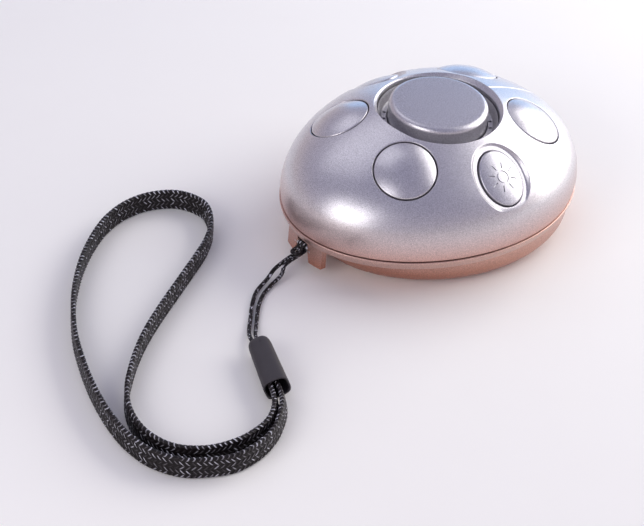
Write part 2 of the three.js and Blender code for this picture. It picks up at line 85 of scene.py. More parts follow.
CORD_ROUTE = [
    (-72.5, -24, 2.9), (-71.3, -20.8, 2.6), (-69.6, -17, 1.6), (-67.1, -13.6, 0.8), (-64.4, -10.4, 0.65), (-61.4, -6.8, 0.65), (-57.2, -3, 0.65), (-52.4, -1, 1.4),
    (-48.2, -0.3, 3), (-45, 0.2, 4.8), (-42.7, 0.65, 6.5), (-41.5, 0.7, 7.6), (-40.3, 0.7, 8.05), (-39.25, 0.6, 7.6), (-38.85, 0.35, 6.6), (-39.25, 0, 5.55),
    (-40.3, -0.4, 5.15), (-41.7, -0.7, 5), (-43.4, -1, 4.3), (-45.6, -1.4, 3.2), (-48.8, -2, 1.8), (-53, -3.2, 0.75), (-56.6, -5, 0.65), (-60.2, -8, 0.65),
    (-63.5, -11.8, 0.65), (-66, -14.9, 0.9), (-68.4, -18, 1.7), (-70.1, -21.3, 2.6), (-71.3, -24.4, 2.9)]


# ------------------------------------------------------------------ helpers
def link(o):
    scene.collection.objects.link(o)
    return o

def make(name, V, F, mat=None, body=None, slot=None, replaces=(), smooth=True, sharp=None, normals=None):
    """A mesh object from millimetre vertices and a list of faces."""
    me = bpy.data.meshes.new(name)
    V = np.asarray(V, dtype=float) * MM
    me.from_pydata(V.tolist(), [], [tuple(int(i) for i in f) for f in F])
    me.validate(verbose=False)
    me.update()
    o = link(bpy.data.objects.new(name, me))
    finish_mesh(o, mat, smooth, sharp)
    if normals is not None:
        base = np.empty(len(me.vertices) * 3, dtype=np.float32)
        me.vertex_normals.foreach_get("vector", base)
        base = base.reshape(-1, 3)
        k = ~np.isnan(normals[:, 0])
        base[k] = normals[k]
        me.normals_split_custom_set_from_vertices(base.tolist())
    if body:
        attach(o, body, replaces)
    return o

def finish_mesh(o, mat=None, smooth=True, sharp=None):
    me = o.data
    me.polygons.foreach_set("use_smooth", [bool(smooth)] * len(me.polygons))
    if sharp is not None:
        me.set_sharp_from_angle(angle=math.radians(sharp))
    if mat is not None:
        me.materials.clear()
        me.materials.append(mat)
    me.update()

def attach(o, body, replaces=()):
    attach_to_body(o, body)
    if replaces:
        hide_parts(*replaces)

def weighted(o):
    m = o.modifiers.new("weighted", "WEIGHTED_NORMAL")
    m.keep_sharp = True
    m.weight = 80
    return o

def apply_all(o):
    dg = bpy.context.evaluated_depsgraph_get()
    me = bpy.data.meshes.new_from_object(o.evaluated_get(dg))
    o.modifiers.clear()
    old = o.data
    o.data = me
    bpy.data.meshes.remove(old)
    return o

def boolean(o, other, op="DIFFERENCE", keep=False):
    m = o.modifiers.new("b", "BOOLEAN")
    m.operation, m.object, m.solver = op, other, "EXACT"
    apply_all(o)
    if not keep:
        me = other.data
        bpy.data.objects.remove(other)
        bpy.data.meshes.remove(me)
    return o

def bevel(o, width_mm, segs=3, angle=35):
    m = o.modifiers.new("bevel", "BEVEL")
    m.width, m.segments, m.limit_method, m.angle_limit = width_mm * MM, segs, "ANGLE", math.radians(angle)
    m.use_clamp_overlap = True
    m.miter_outer = "MITER_ARC"
    return apply_all(o)

def recentre(o):
    bm = bmesh.new(); bm.from_mesh(o.data)
    bmesh.ops.recalc_face_normals(bm, faces=bm.faces)
    bm.to_mesh(o.data); bm.free()
    return o

def arc(cx, cz, r, a0, a1, n):
    return [(cx + r * math.cos(math.radians(a0 + (a1 - a0) * i / n)), cz + r * math.sin(math.radians(a0 + (a1 - a0) * i / n))) for i in range(n + 1)]

def lathe_data(profile, n=96, closed=False):
    """profile: (radius, height) from one axis end to the other, or a closed ring."""
    V, F, rows = [], [], []
    for (rr, zz) in profile:
        if rr < 1e-6:
            rows.append([len(V)]); V.append((0, 0, zz))
        else:
            rows.append(list(range(len(V), len(V) + n)))
            V += [(rr * math.cos(2 * math.pi * k / n), rr * math.sin(2 * math.pi * k / n), zz) for k in range(n)]
    pairs = list(zip(rows[:-1], rows[1:])) + ([(rows[-1], rows[0])] if closed else [])
    for a, b in pairs:
        if len(a) == 1 and len(b) == 1:
            continue
        for k in range(n):
            k2 = (k + 1) % n
            if len(a) == 1: F.append((a[0], b[k2], b[k]))
            elif len(b) == 1: F.append((a[k], a[k2], b[0]))
            else: F.append((a[k], a[k2], b[k2], b[k]))
    return np.array(V, float), F

def turned(name, profile, n=96, at=None, closed=False, **kw):
    V, F = lathe_data(profile, n, closed)
    if at is not None:
        V = V @ at[0].T + at[1]
    o = make(name, V, F, **kw)
    recentre(o)
    return o

def shift(x, y, z):
    return (np.eye(3), np.array([x, y, z], float))

def egg_data(profile, n, ax, by, x0=0.0, c=EGG, closed=False):
    V, F = lathe_data(profile, n, closed)
    s = np.hypot(V[:, 0], V[:, 1])
    co = np.where(s > 1e-9, V[:, 0] / np.maximum(s, 1e-9), 0)
    V = V.copy()
    y = V[:, 1] * by * (1 + c * co)
    V[:, 0] = x0 + ax * V[:, 0]
    V[:, 1] = y
    return V, F

def box_obj(x0, x1, y0, y1, z0, z1, name="cut"):
    V = [(x, y, z) for x in (x0, x1) for y in (y0, y1) for z in (z0, z1)]
    F = [(0, 1, 3, 2), (4, 6, 7, 5), (0, 4, 5, 1), (2, 3, 7, 6), (0, 2, 6, 4), (1, 5, 7, 3)]
    return recentre(make(name, V, F, smooth=False))

def prism_obj(points, z0, z1, name="cut", smooth=False):
    n = len(points)
    V = [(x, y, z0) for x, y in points] + [(x, y, z1) for x, y in points]
    F = [tuple(range(n))[::-1], tuple(range(n, 2 * n))] + [(i, (i + 1) % n, n + (i + 1) % n, n + i) for i in range(n)]
    return recentre(make(name, V, F, smooth=smooth))

def rod_obj(r, z0, z1, x, y, n=32, name="cut"):
    return prism_obj([(x + r * math.cos(2 * math.pi * k / n), y + r * math.sin(2 * math.pi * k / n)) for k in range(n)], z0, z1, name)

def catmull(points, per=12):
    """Centripetal Catmull-Rom through the points, the same curve as the CAD route."""
    P = [np.array(p, float) for p in points]
    out = []
    for i in range(len(P) - 1):
        p1, p2 = P[i], P[i + 1]
        p0 = P[i - 1] if i > 0 else 2 * p1 - p2
        p3 = P[i + 2] if i + 2 < len(P) else 2 * p2 - p1
        d = [max(np.linalg.norm(b - a) ** 0.5, 1e-4) for a, b in ((p0, p1), (p1, p2), (p2, p3))]
        t0, t1, t2, t3 = 0.0, d[0], d[0] + d[1], d[0] + d[1] + d[2]
        for k in range(per):
            t = t1 + (t2 - t1) * k / per
            a1 = (t1 - t) / (t1 - t0) * p0 + (t - t0) / (t1 - t0) * p1
            a2 = (t2 - t) / (t2 - t1) * p1 + (t - t1) / (t2 - t1) * p2
            a3 = (t3 - t) / (t3 - t2) * p2 + (t - t2) / (t3 - t2) * p3
            b1 = (t2 - t) / (t2 - t0) * a1 + (t - t0) / (t2 - t0) * a2
            b2 = (t3 - t) / (t3 - t1) * a2 + (t - t1) / (t3 - t1) * a3
            out.append((t2 - t) / (t2 - t1) * b1 + (t - t1) / (t2 - t1) * b2)
    out.append(P[-1])
    return np.array(out)

def resample(C, step):
    l = np.r_[0, np.cumsum(np.linalg.norm(np.diff(C, axis=0), axis=1))]
    n = max(2, int(round(l[-1] / step)))
    t = np.linspace(0, l[-1], n + 1)
    return np.stack([np.interp(t, l, C[:, k]) for k in range(C.shape[1])], 1), l[-1]

# ---------------------------------------------------------------- materials
def nodes_of(name):
    m = bpy.data.materials.new(name)
    m.use_nodes = True
    nt = m.node_tree
    b = nt.nodes["Principled BSDF"]
    return m, nt, b

def coords(nt, scale):
    tc = nt.nodes.new("ShaderNodeTexCoord")
    mp = nt.nodes.new("ShaderNodeMapping")
    mp.inputs["Scale"].default_value = (scale,) * 3 if not hasattr(scale, "__len__") else scale
    nt.links.new(tc.outputs["Object"], mp.inputs["Vector"])
    return mp.outputs["Vector"]

def noise(nt, vec, scale, detail=2.0, rough=0.5):
    n = nt.nodes.new("ShaderNodeTexNoise")
    n.inputs["Scale"].default_value, n.inputs["Detail"].default_value, n.inputs["Roughness"].default_value = scale, detail, rough
    nt.links.new(vec, n.inputs["Vector"])
    return n.outputs["Fac"]

def ramp(nt, fac, stops):
    r = nt.nodes.new("ShaderNodeValToRGB")
    el = r.color_ramp.elements
    while len(el) < len(stops):
        el.new(0.5)
    for e, (p, c) in zip(el, stops):
        e.position = p
        e.color = (c[0], c[1], c[2], 1) if hasattr(c, "__len__") else (c, c, c, 1)
    nt.links.new(fac, r.inputs["Fac"])
    return r.outputs["Color"]

def remap(nt, fac, lo, hi, a=0.0, b=1.0):
    m = nt.nodes.new("ShaderNodeMapRange")
    m.inputs["From Min"].default_value, m.inputs["From Max"].default_value = a, b
    m.inputs["To Min"].default_value, m.inputs["To Max"].default_value = lo, hi
    nt.links.new(fac, m.inputs["Value"])
    return m.outputs["Result"]

def bump(nt, height, strength, dist, prev=None):
    b = nt.nodes.new("ShaderNodeBump")
    b.inputs["Strength"].default_value, b.inputs["Distance"].default_value = strength, dist
    nt.links.new(height, b.inputs["Height"])
    if prev is not None:
        nt.links.new(prev, b.inputs["Normal"])
    return b.outputs["Normal"]

def mix(nt, fac, a, b):
    m = nt.nodes.new("ShaderNodeMix")
    m.data_type = "RGBA"
    for sock, v in ((m.inputs[0], fac), (m.inputs[6], a), (m.inputs[7], b)):
        if hasattr(v, "is_linked") or hasattr(v, "links"):
            nt.links.new(v, sock)
        else:
            sock.default_value = v if not hasattr(v, "__len__") else (*v[:3], 1)
    return m.outputs[2]

def silver_paint(name, base=(0.60, 0.585, 0.615), rough=(0.27, 0.40), metallic=0.88, peel=0.35, painted_low_reflection=None):
    """Sprayed metallic silver: fine flake in colour, roughness and bump, a faint orange peel, a thin clear coat; where
    asked, painted reflection and shade make the lower part warmer and darker.
    """
    m, nt, b = nodes_of(name)
    v = coords(nt, 1000.0)
    flake = noise(nt, v, 4.2, 2.0, 0.65)
    fine = noise(nt, v, 14.0, 1.0, 0.5)
    broad = noise(nt, v, 0.05, 3.0, 0.5)
    peelf = noise(nt, v, 1.3, 2.0, 0.5)
    dark = tuple(c * 0.70 for c in base)
    light = tuple(min(1.0, c * 1.30) for c in base)
    col = ramp(nt, flake, [(0.30, dark), (0.50, base), (0.68, light)])
    warm = mix(nt, remap(nt, broad, 0.0, 0.10, 0.4, 0.7), col, tuple(c * k for c, k in zip(base, (1.03, 0.98, 0.97))))
    if painted_low_reflection is not None:
        # painted reflection and shade: the colour is multiplied warmer and darker towards the lower edge, for the warm
        # surroundings reflected there and the shade near the floor
        sp = nt.nodes.new("ShaderNodeSeparateXYZ")
        nt.links.new(v, sp.inputs[0])
        painted_reflection_fac = remap(nt, sp.outputs["Z"], 1.0, 0.0, painted_low_reflection[0], painted_low_reflection[1])
        painted_reflection_tint = nt.nodes.new("ShaderNodeMix"); painted_reflection_tint.data_type = "RGBA"; painted_reflection_tint.blend_type = "MULTIPLY"
        nt.links.new(painted_reflection_fac, painted_reflection_tint.inputs[0]); nt.links.new(warm, painted_reflection_tint.inputs[6])
        painted_reflection_tint.inputs[7].default_value = (*painted_low_reflection[2], 1)
        warm = painted_reflection_tint.outputs[2]
    nt.links.new(warm, b.inputs["Base Color"])
    nt.links.new(remap(nt, fine, rough[0], rough[1], 0.3, 0.7), b.inputs["Roughness"])
    n1 = bump(nt, flake, 0.30, 0.00010)
    n2 = bump(nt, peelf, peel, 0.00005, n1)
    nt.links.new(n2, b.inputs["Normal"])
    b.inputs["Metallic"].default_value = metallic
    b.inputs["Coat Weight"].default_value = 0.35
    b.inputs["Coat Roughness"].default_value = 0.12
    b.inputs["Coat IOR"].default_value = 1.5
    return m

def plastic(name, base, rough=(0.4, 0.6), grain=18.0, strength=0.25, metallic=0.0, vary=0.15):
    m, nt, b = nodes_of(name)
    v = coords(nt, 1000.0)
    g = noise(nt, v, grain * 0.25, 3.0, 0.6)
    w = noise(nt, v, 0.12, 3.0, 0.55)
    col = mix(nt, remap(nt, w, 0.0, 1.0, 0.3, 0.7), tuple(c * (1 - vary) for c in base), tuple(min(1, c * (1 + vary)) for c in base))
    nt.links.new(col, b.inputs["Base Color"])
    nt.links.new(remap(nt, g, rough[0], rough[1], 0.3, 0.7), b.inputs["Roughness"])
    nt.links.new(bump(nt, g, strength, 0.00006), b.inputs["Normal"])
    b.inputs["Metallic"].default_value = metallic
    return m

def metal(name, base, rough=(0.2, 0.4), stretch=(400.0, 4000.0, 4000.0)):
    m, nt, b = nodes_of(name)
    v = coords(nt, stretch)
    g = noise(nt, v, 1.6, 3.0, 0.6)
    v2 = coords(nt, 1000.0)
    w = noise(nt, v2, 0.3, 3.0, 0.6)
    col = mix(nt, remap(nt, w, 0.0, 1.0, 0.3, 0.7), tuple(c * 0.85 for c in base), base)
    nt.links.new(col, b.inputs["Base Color"])
    nt.links.new(remap(nt, g, rough[0], rough[1], 0.3, 0.7), b.inputs["Roughness"])
    nt.links.new(bump(nt, g, 0.15, 0.00003), b.inputs["Normal"])
    b.inputs["Metallic"].default_value = 1.0
    return m

MAT = {}
# top shell: painted reflection and shade, warmer and darker from z 21 mm down to 11.5 mm
MAT["silver_paint"] = silver_paint("silver_paint", painted_low_reflection=(11.5, 21.0, (0.97, 0.58, 0.46)))
MAT["silver_button"] = silver_paint("silver_button", base=(0.59, 0.58, 0.615))
# bottom shell and cell door: silver paint with painted reflection and shade, a pinkish-brown base colour and a darker,
# warmer lower part for the warm surface reflected and the shade near the floor
MAT["silver_base"] = silver_paint("silver_base", base=(0.58, 0.385, 0.33), rough=(0.30, 0.44), painted_low_reflection=(2.0, 10.0, (0.76, 0.43, 0.29)))
MAT["ring_plastic"] = silver_paint("ring_plastic", base=(0.50, 0.49, 0.50), rough=(0.35, 0.5), metallic=0.7)
MAT["black_plastic"] = plastic("black_plastic", (0.022, 0.022, 0.024))
MAT["bright_steel"] = metal("bright_steel", (0.72, 0.72, 0.73))
MAT["tin_can"] = metal("tin_can", (0.68, 0.67, 0.65), rough=(0.18, 0.32))
MAT["gasket_rubber"] = plastic("gasket_rubber", (0.035, 0.035, 0.038), rough=(0.8, 0.95), grain=40, strength=0.8)
MAT["capacitor_sleeve"] = plastic("capacitor_sleeve", (0.04, 0.07, 0.15), rough=(0.25, 0.35))
MAT["crimp_plastic"] = plastic("crimp_plastic", (0.042, 0.037, 0.043), rough=(0.5, 0.66), grain=26, strength=0.35, vary=0.12)

def board_material():
    m, nt, b = nodes_of("circuit_board")
    v = coords(nt, 1000.0)
    vo = nt.nodes.new("ShaderNodeTexVoronoi")
    vo.distance, vo.feature = "MANHATTAN", "DISTANCE_TO_EDGE" if False else "F1"
    vo.inputs["Scale"].default_value = 0.55
    nt.links.new(v, vo.inputs["Vector"])
    w = noise(nt, v, 0.4, 2.0)
    track = ramp(nt, vo.outputs["Distance"], [(0.0, (0.55, 0.42, 0.16)), (0.09, (0.50, 0.38, 0.14)), (0.11, (0.03, 0.15, 0.07)), (0.45, (0.02, 0.10, 0.05)), (0.47, (0.045, 0.20, 0.09)), (0.60, (0.02, 0.10, 0.05))])
    nt.links.new(mix(nt, remap(nt, w, 0.0, 0.3), track, (0.02, 0.12, 0.06)), b.inputs["Base Color"])
    nt.links.new(remap(nt, w, 0.28, 0.42), b.inputs["Roughness"])
    nt.links.new(bump(nt, vo.outputs["Distance"], 0.2, 0.00005), b.inputs["Normal"])
    return m
MAT["circuit_board"] = board_material()

def cell_material():
    m, nt, b = nodes_of("cell_jacket")
    tc = nt.nodes.new("ShaderNodeTexCoord")
    sp = nt.nodes.new("ShaderNodeSeparateXYZ")
    nt.links.new(tc.outputs["Object"], sp.inputs[0])
    band = ramp(nt, remap(nt, sp.outputs["X"], 0.0, 1.0, -0.018, 0.028), [(0.0, (0.55, 0.34, 0.10)), (0.27, (0.60, 0.38, 0.12)), (0.28, (0.02, 0.02, 0.022)), (1.0, (0.03, 0.03, 0.032))])
    v = coords(nt, 1000.0)
    w = noise(nt, v, 1.2, 3.0)
    nt.links.new(mix(nt, remap(nt, w, 0.0, 0.25), band, (0.08, 0.07, 0.06)), b.inputs["Base Color"])
    nt.links.new(remap(nt, w, 0.22, 0.38), b.inputs["Roughness"])
    nt.links.new(bump(nt, w, 0.1, 0.00005), b.inputs["Normal"])
    b.inputs["Metallic"].default_value = 0.6
    return m
MAT["cell_jacket"] = cell_material()

def clear_material(name, base, trans, rough=(0.03, 0.10)):
    m, nt, b = nodes_of(name)
    v = coords(nt, 1000.0)
    w = noise(nt, v, 0.8, 2.0)
    nt.links.new(mix(nt, remap(nt, w, 0.0, 0.3), base, tuple(c * 0.9 for c in base)), b.inputs["Base Color"])
    nt.links.new(remap(nt, w, rough[0], rough[1]), b.inputs["Roughness"])
    nt.links.new(bump(nt, w, 0.05, 0.00005), b.inputs["Normal"])
    b.inputs["Transmission Weight"].default_value = trans
    b.inputs["IOR"].default_value = 1.49
    return m
MAT["clear_lens"] = clear_material("clear_lens", (0.90, 0.92, 0.94), 0.85)
MAT["red_lens"] = clear_material("red_lens", (0.65, 0.05, 0.04), 0.5)

def nylon(name, base=(0.0058, 0.0036, 0.0042)):
    """Braided nylon: the yarns are in the mesh, the fibres run along each yarn in bump, and a painted highlight colours
    single yarn tops near white as glints.
    """
    m, nt, b = nodes_of(name)
    at = nt.nodes.new("ShaderNodeAttribute"); at.attribute_name = "yarn"
    sp = nt.nodes.new("ShaderNodeSeparateXYZ")
    nt.links.new(at.outputs["Vector"], sp.inputs[0])
    v = coords(nt, 1000.0)
    fine = noise(nt, v, 9.0, 2.0, 0.6)
    # painted highlight: the third component of the yarn attribute colours single yarn tops brighter, up to near white
    painted_glint = ramp(nt, sp.outputs["Z"], [(0.0, base), (0.30, tuple(c * 1.5 for c in base)), (0.55, (0.13, 0.12, 0.13)), (1.0, (0.85, 0.86, 0.95))])
    nt.links.new(mix(nt, remap(nt, fine, 0.0, 0.35, 0.35, 0.75), painted_glint, tuple(c * 0.6 for c in base)), b.inputs["Base Color"])
    nt.links.new(remap(nt, fine, 0.28, 0.62, 0.3, 0.7), b.inputs["Roughness"])
    w = nt.nodes.new("ShaderNodeTexWave")
    w.inputs["Scale"].default_value = 1.0
    nt.links.new(at.outputs["Vector"], w.inputs["Vector"])
    nt.links.new(bump(nt, w.outputs["Fac"], 0.35, 0.00004, bump(nt, fine, 0.4, 0.00005)), b.inputs["Normal"])
    b.inputs["Specular IOR Level"].default_value = 0.26
    return m
MAT["strap_nylon"] = nylon("strap_nylon")

def floor_material():
    m, nt, b = nodes_of("floor")
    v = coords(nt, 1.0)
    w = noise(nt, v, 60.0, 3.0)
    nt.links.new(mix(nt, remap(nt, w, 0.0, 1.0), (0.96, 0.945, 0.90), (0.97, 0.96, 0.915)), b.inputs["Base Color"])
    b.inputs["Roughness"].default_value = 0.9
    b.inputs["Specular IOR Level"].default_value = 0.1
    return m

# -------------------------------------------------------- cord and wrist strap
def frames_along(C):
    T = np.gradient(C, axis=0)
    T /= np.linalg.norm(T, axis=1)[:, None]
    return T

def sweep(C, section, T=None, up_hint=np.array([0, 0, 1.0]), closed_ends=True):
    """Quads of a tube along C. section(i) gives (across, upward) offsets for station i."""
    T = frames_along(C) if T is None else T
    N = len(C)
    rows, prev = [], None
    for i in range(N):
        t = T[i]
        if prev is None:
            n = up_hint - t * (up_hint @ t)
            if np.linalg.norm(n) < 0.2:
                n = np.array([0, 1.0, 0]) - t * t[1]
        else:
            n = prev - t * (prev @ t)
        n /= np.linalg.norm(n)
        prev = n
        s = np.cross(n, t)
        q = section(i)
        rows.append(C[i] + q[:, :1] * s + q[:, 1:2] * n)
    m = len(rows[0])
    V = np.concatenate(rows)
    F = []
    for i in range(N - 1):
        a, b = i * m, (i + 1) * m
        for k in range(m):
            k2 = (k + 1) % m
            F.append((a + k, a + k2, b + k2, b + k))
    if closed_ends:
        F.append(tuple(range(m))[::-1])
        F.append(tuple(range((N - 1) * m, N * m)))
    return V, F, m

def hash1(a):
    v = np.sin(a * 12.9898) * 43758.5453
    return v - np.floor(v)

def yarn_attribute(o, data):
    at = o.data.attributes.new("yarn", "FLOAT_VECTOR", "POINT")
    at.data.foreach_set("vector", np.asarray(data, dtype=np.float32).reshape(-1))

def braid_cord(name, route, r, per=14, step=0.11, sides=28, pitch=1.35, strands=8, **kw):
    C, L = resample(catmull(route, per), step)
    l = np.linspace(0, L, len(C))
    th = np.arange(sides) * 2 * np.pi / sides
    def phase(i, sgn):
        return strands * th / (2 * np.pi) + sgn * l[i] * strands / (2 * pitch * 2.2)
    def section(i):
        a, b = phase(i, 1), phase(i, -1)
        over = (np.floor(a) + np.floor(b)) % 2
        h = np.where(over > 0.5, np.abs(np.sin(np.pi * a)), np.abs(np.sin(np.pi * b))) ** 0.7
        rr = r * (0.93 + 0.13 * h)
        return np.stack([rr * np.cos(th), rr * np.sin(th)], 1)
    V, F, m = sweep(C, section)
    o = make(name, V, F, mat=MAT["strap_nylon"], **kw)
    recentre(o)
    at = []
    for i in range(len(C)):
        a, b = phase(i, 1), phase(i, -1)
        # third component: painted highlight, bright on a random few crossings
        z = hash1(np.floor(a) * 3.1 + np.floor(b) * 7.7) ** 3
        at.append(np.stack([np.full(m, l[i]), th * r, z], 1))
    yarn_attribute(o, np.concatenate(at))
    return o, C, L

PX, PZ = -40.3, 6.6
g_ = 1.36
up_leg = [(-44.2, 0.56, 4.05), (-42.9, 0.56, 4.35), (-41.5, 0.56, 4.75)]
over_pin = [(PX - 0.2, 0.58, PZ - g_), (PX + 0.98, 0.6, PZ - 0.98), (PX + g_, 0.62, PZ), (PX + 0.98, 0.62, PZ + 0.98), (PX, 0.62, PZ + g_), (PX - 0.98, 0.62, PZ + 0.98), (PX - g_, 0.64, PZ), (-42.15, 0.80, 5.95), (-42.85, 1.02, 5.55), (-43.55, 0.78, 5.42)]
neg = lambda pts: [(x, -y, z) for x, y, z in pts]
lark = CORD_ROUTE[:8] + [(-49.6, 0.15, 2.35), (-46.6, 0.5, 3.35)] + up_leg + over_pin + [(-43.85, 0.0, 5.4)] + neg(over_pin[::-1]) + neg(up_leg[::-1]) + [(-46.9, -0.75, 3.2)] + CORD_ROUTE[20:]
cord_o, cord_C, cord_L = braid_cord("hand_cord", lark, CORD_D / 2, body="root", slot="strap_nylon", replaces=("strap_cord",))

def strap_mesh():
    C2, L = resample(np.c_[catmull([(x, y, 0) for x, y in STRAP_ROUTE], 12)][:, :2], 0.21)
    N = len(C2)
    C = np.c_[C2, np.full(N, STRAP_Z)]
    l = np.linspace(0, L, N)
    T = np.gradient(C2, axis=0); T /= np.linalg.norm(T, axis=1)[:, None]
    nrm = np.c_[-T[:, 1], T[:, 0]]
    hw, ht, rc = STRAP_W / 2, STRAP_T / 2, 0.46
    # cross-section: (side offset, height), from the bottom round
    flat_n, end_n = 26, 7
    sec, flat, col = [], [], []
    zs = np.linspace(-hw + rc, hw - rc, flat_n + 1)
    wcol = 1.32
    for z in zs: sec.append((ht, z)); flat.append(1.0)
    for k in range(1, end_n):
        a = math.pi * k / end_n
        sec.append((ht * math.cos(a), hw - rc + rc * math.sin(a))); flat.append(0.35)
    for z in zs[::-1]: sec.append((-ht, z)); flat.append(1.0)
    for k in range(1, end_n):
        a = math.pi * k / end_n
        sec.append((-ht * math.cos(a), -hw + rc - rc * math.sin(a))); flat.append(0.35)
    sec, flat = np.array(sec), np.array(flat)
    per = np.r_[0, np.cumsum(np.linalg.norm(np.diff(sec, axis=0), axis=1))]
    m = len(sec)
    nout = np.c_[np.sign(sec[:, 0]) * (np.abs(np.abs(sec[:, 0]) - 0) > 1e-6), np.zeros(m)]
    for j in range(m):
        if flat[j] < 0.9:
            zc = hw - rc if sec[j, 1] > 0 else -hw + rc
            d = np.array([sec[j, 0] / ht, (sec[j, 1] - zc) / rc]); nout[j] = d / np.linalg.norm(d)
    colf = (sec[:, 1] + hw) / wcol
    colj = np.floor(colf)
    sgn = np.where(colj % 2 > 0.5, 1.0, -1.0)
    face = np.where(sec[:, 0] > 0, 1.0, 17.0)
    frac = colf - colj
    rib = np.abs(np.sin(np.pi * frac)) ** 0.42
    V = np.empty((N, m, 3)); Y = np.empty((N, m, 3))
    yp = 1.30
    for i in range(N):
        e = min(l[i], L - l[i])
        roll = math.radians(21.0) * max(0.0, 1 - e / 26.0) ** 2 * (3 - 2 * max(0.0, 1 - e / 26.0)) * (1 if l[i] < L / 2 else -1)
        cr, sr = math.cos(roll), math.sin(roll)
        sway = 0.10 * math.sin(l[i] * 0.11) + 0.06 * math.sin(l[i] * 0.37 + 1)
        ph = l[i] / yp + sgn * (frac - 0.5) * 0.95 + 0.30 * hash1(colj * 5.3 + face)
        k = np.floor(ph)
        h = np.abs(np.sin(np.pi * ph)) ** 0.62 * rib
        rnd = hash1(k * 1.7 + colj * 31.3 + face * 3.3)
        d = (0.26 * h - 0.20) * np.where(flat > 0.9, 1, 0.7) + 0.03 * (rnd - 0.5)
        off = sec[:, 0] + nout[:, 0] * d + sway * (np.abs(sec[:, 1]) / hw) ** 2 * 0.4
        hh = sec[:, 1] + nout[:, 1] * d
        wq = max(0.0, min(1.0, (13.0 - e) / 6.0))
        wq = wq * wq * (3 - 2 * wq)
        hh = hh * (1 - 0.30 * wq) + 0.28 * wq
        off = off * (1 - 0.12 * wq)
        off, hh = off * cr - hh * sr, off * sr + hh * cr
        V[i, :, 0] = C[i, 0] + nrm[i, 0] * off
        V[i, :, 1] = C[i, 1] + nrm[i, 1] * off
        V[i, :, 2] = np.maximum(C[i, 2] + hh, 0.03)
        Y[i, :, 0] = l[i] * sgn + per
        Y[i, :, 1] = (ph - k)
        # third component: painted highlight on the tops of the yarn ridges, brightest mid-yarn, its strength random per
        # yarn
        Y[i, :, 2] = np.clip(np.exp(-((ph - k - 0.5 + 0.25 * (rnd - 0.5)) / 0.16) ** 2) * np.clip(h * 1.6 - 0.30, 0, 1) * (0.46 + 0.80 * rnd ** 1.1), 0, 1)
    F = []
    for i in range(N - 1):
        a, b = i * m, (i + 1) * m
        for k in range(m):
            k2 = (k + 1) % m
            F.append((a + k, a + k2, b + k2, b + k))
    F.append(tuple(range(m))[::-1]); F.append(tuple(range((N - 1) * m, N * m)))
    o = make("wrist_band", V.reshape(-1, 3), F, mat=MAT["strap_nylon"], body="root", slot="strap_nylon", replaces=("wrist_strap",))
    recentre(o)
    yarn_attribute(o, Y.reshape(-1, 3))
    return o, C, L
band_o, band_C, band_L = strap_mesh()

# crimp: a bullet-ended clip with a rounded top, a mouth for the strap and a dimple
def crimp_mesh():
    """Loft along the clip's axis: rounded-box sections, a bullet end for the cord and a hollow mouth for the band, lying rolled towards the nose."""
    far, mouth = np.array([-70.75, -22.3, 3.62]), np.array([-76.9, -38.6, 3.62])
    d = mouth - far; ln = float(np.linalg.norm(d)); ex = d / ln
    ey = np.array([-ex[1], ex[0], 0.0])
    a = math.radians(22.0)
    ez = np.array([0, 0, 1.0]) * math.cos(a) - ey * math.sin(a)
    ey2 = ey * math.cos(a) + np.array([0, 0, 1.0]) * math.sin(a)
    m = 96
    th = np.arange(m) * 2 * np.pi / m
    def section(hw, hh, n=3.4):
        c, s_ = np.cos(th), np.sin(th)
        k = (np.abs(c) ** n + np.abs(s_) ** n) ** (-1 / n)
        return hw * k * c, hh * k * s_
    rows = []
    # outside, from the cord end to the mouth lip
    ts = [0.0, 0.04, 0.14, 0.3, 0.5, 0.75, 1.05, 1.4, 1.8, 2.3, 2.9, 3.6] + list(np.linspace(4.4, ln - 0.5, 22)) + [ln - 0.25, ln - 0.1, ln - 0.02, ln]
    for t in ts:
        e = min(1.0, t / 3.4)
        rw = (1 - (1 - e) ** 2.6) ** 0.5
        hw = 0.9 + 1.98 * rw + 0.34 * max(0.0, t - 3.0) / (ln - 3.0)
        hh = 1.15 + 1.75 * rw + 0.16 * max(0.0, t - 3.0) / (ln - 3.0)
        lip = max(0.0, (t - (ln - 0.25)) / 0.25)
        k = 0.24 * (1 - math.sqrt(max(0.0, 1 - lip * lip)))
        if t == 0.0: hw, hh = hw * 0.55, hh * 0.55
        rows.append((t, hw - k, hh - k))
    lipw, liph = rows[-1][1], rows[-1][2]
    inner = [(ln - 0.02, lipw - 0.14, liph - 0.14), (ln - 0.15, lipw - 0.26, liph - 0.26), (ln - 0.5, lipw - 0.32, liph - 0.32), (ln - 2.5, lipw - 0.42, liph - 0.42), (ln - 6.0, lipw - 0.55, liph - 0.55), (ln - 6.4, lipw - 1.1, liph - 1.1)]
    V, F = [], []
    idx = []
    for q, (t, hw, hh) in enumerate(rows + inner):
        y, z = section(hw, hh)
        base = far + ex * t
        # a small crescent pressed into the top near the cord end
        if q < len(rows):
            dd = np.hypot((t - 2.9) / 0.75, (y - 0.1) / 0.65)
            dd2 = np.hypot((t - 2.45) / 0.7, (y + 0.05) / 0.6)
            dent = np.where((z > 0) & (dd < 1) & (dd2 > 0.95), 0.30 * np.sqrt(np.maximum(0, 1 - dd ** 2)), 0)
            z = z - dent
        idx.append(len(V) * m)
        V.append(base + y[:, None] * ey2 + z[:, None] * ez)
    for q in range(len(V) - 1):
        p0, p1 = q * m, (q + 1) * m
        F += [(p0 + k, p0 + (k + 1) % m, p1 + (k + 1) % m, p1 + k) for k in range(m)]
    F.append(tuple(range(m))); F.append(tuple(range((len(V) - 1) * m, len(V) * m)))
    P = np.concatenate(V)
    o = make("strap_clip", P, F)
    recentre(o)
    finish_mesh(o, MAT["crimp_plastic"], True, 60)
    attach(o, "root", ("strap_crimp",))
    return o
crimp_o = crimp_mesh()

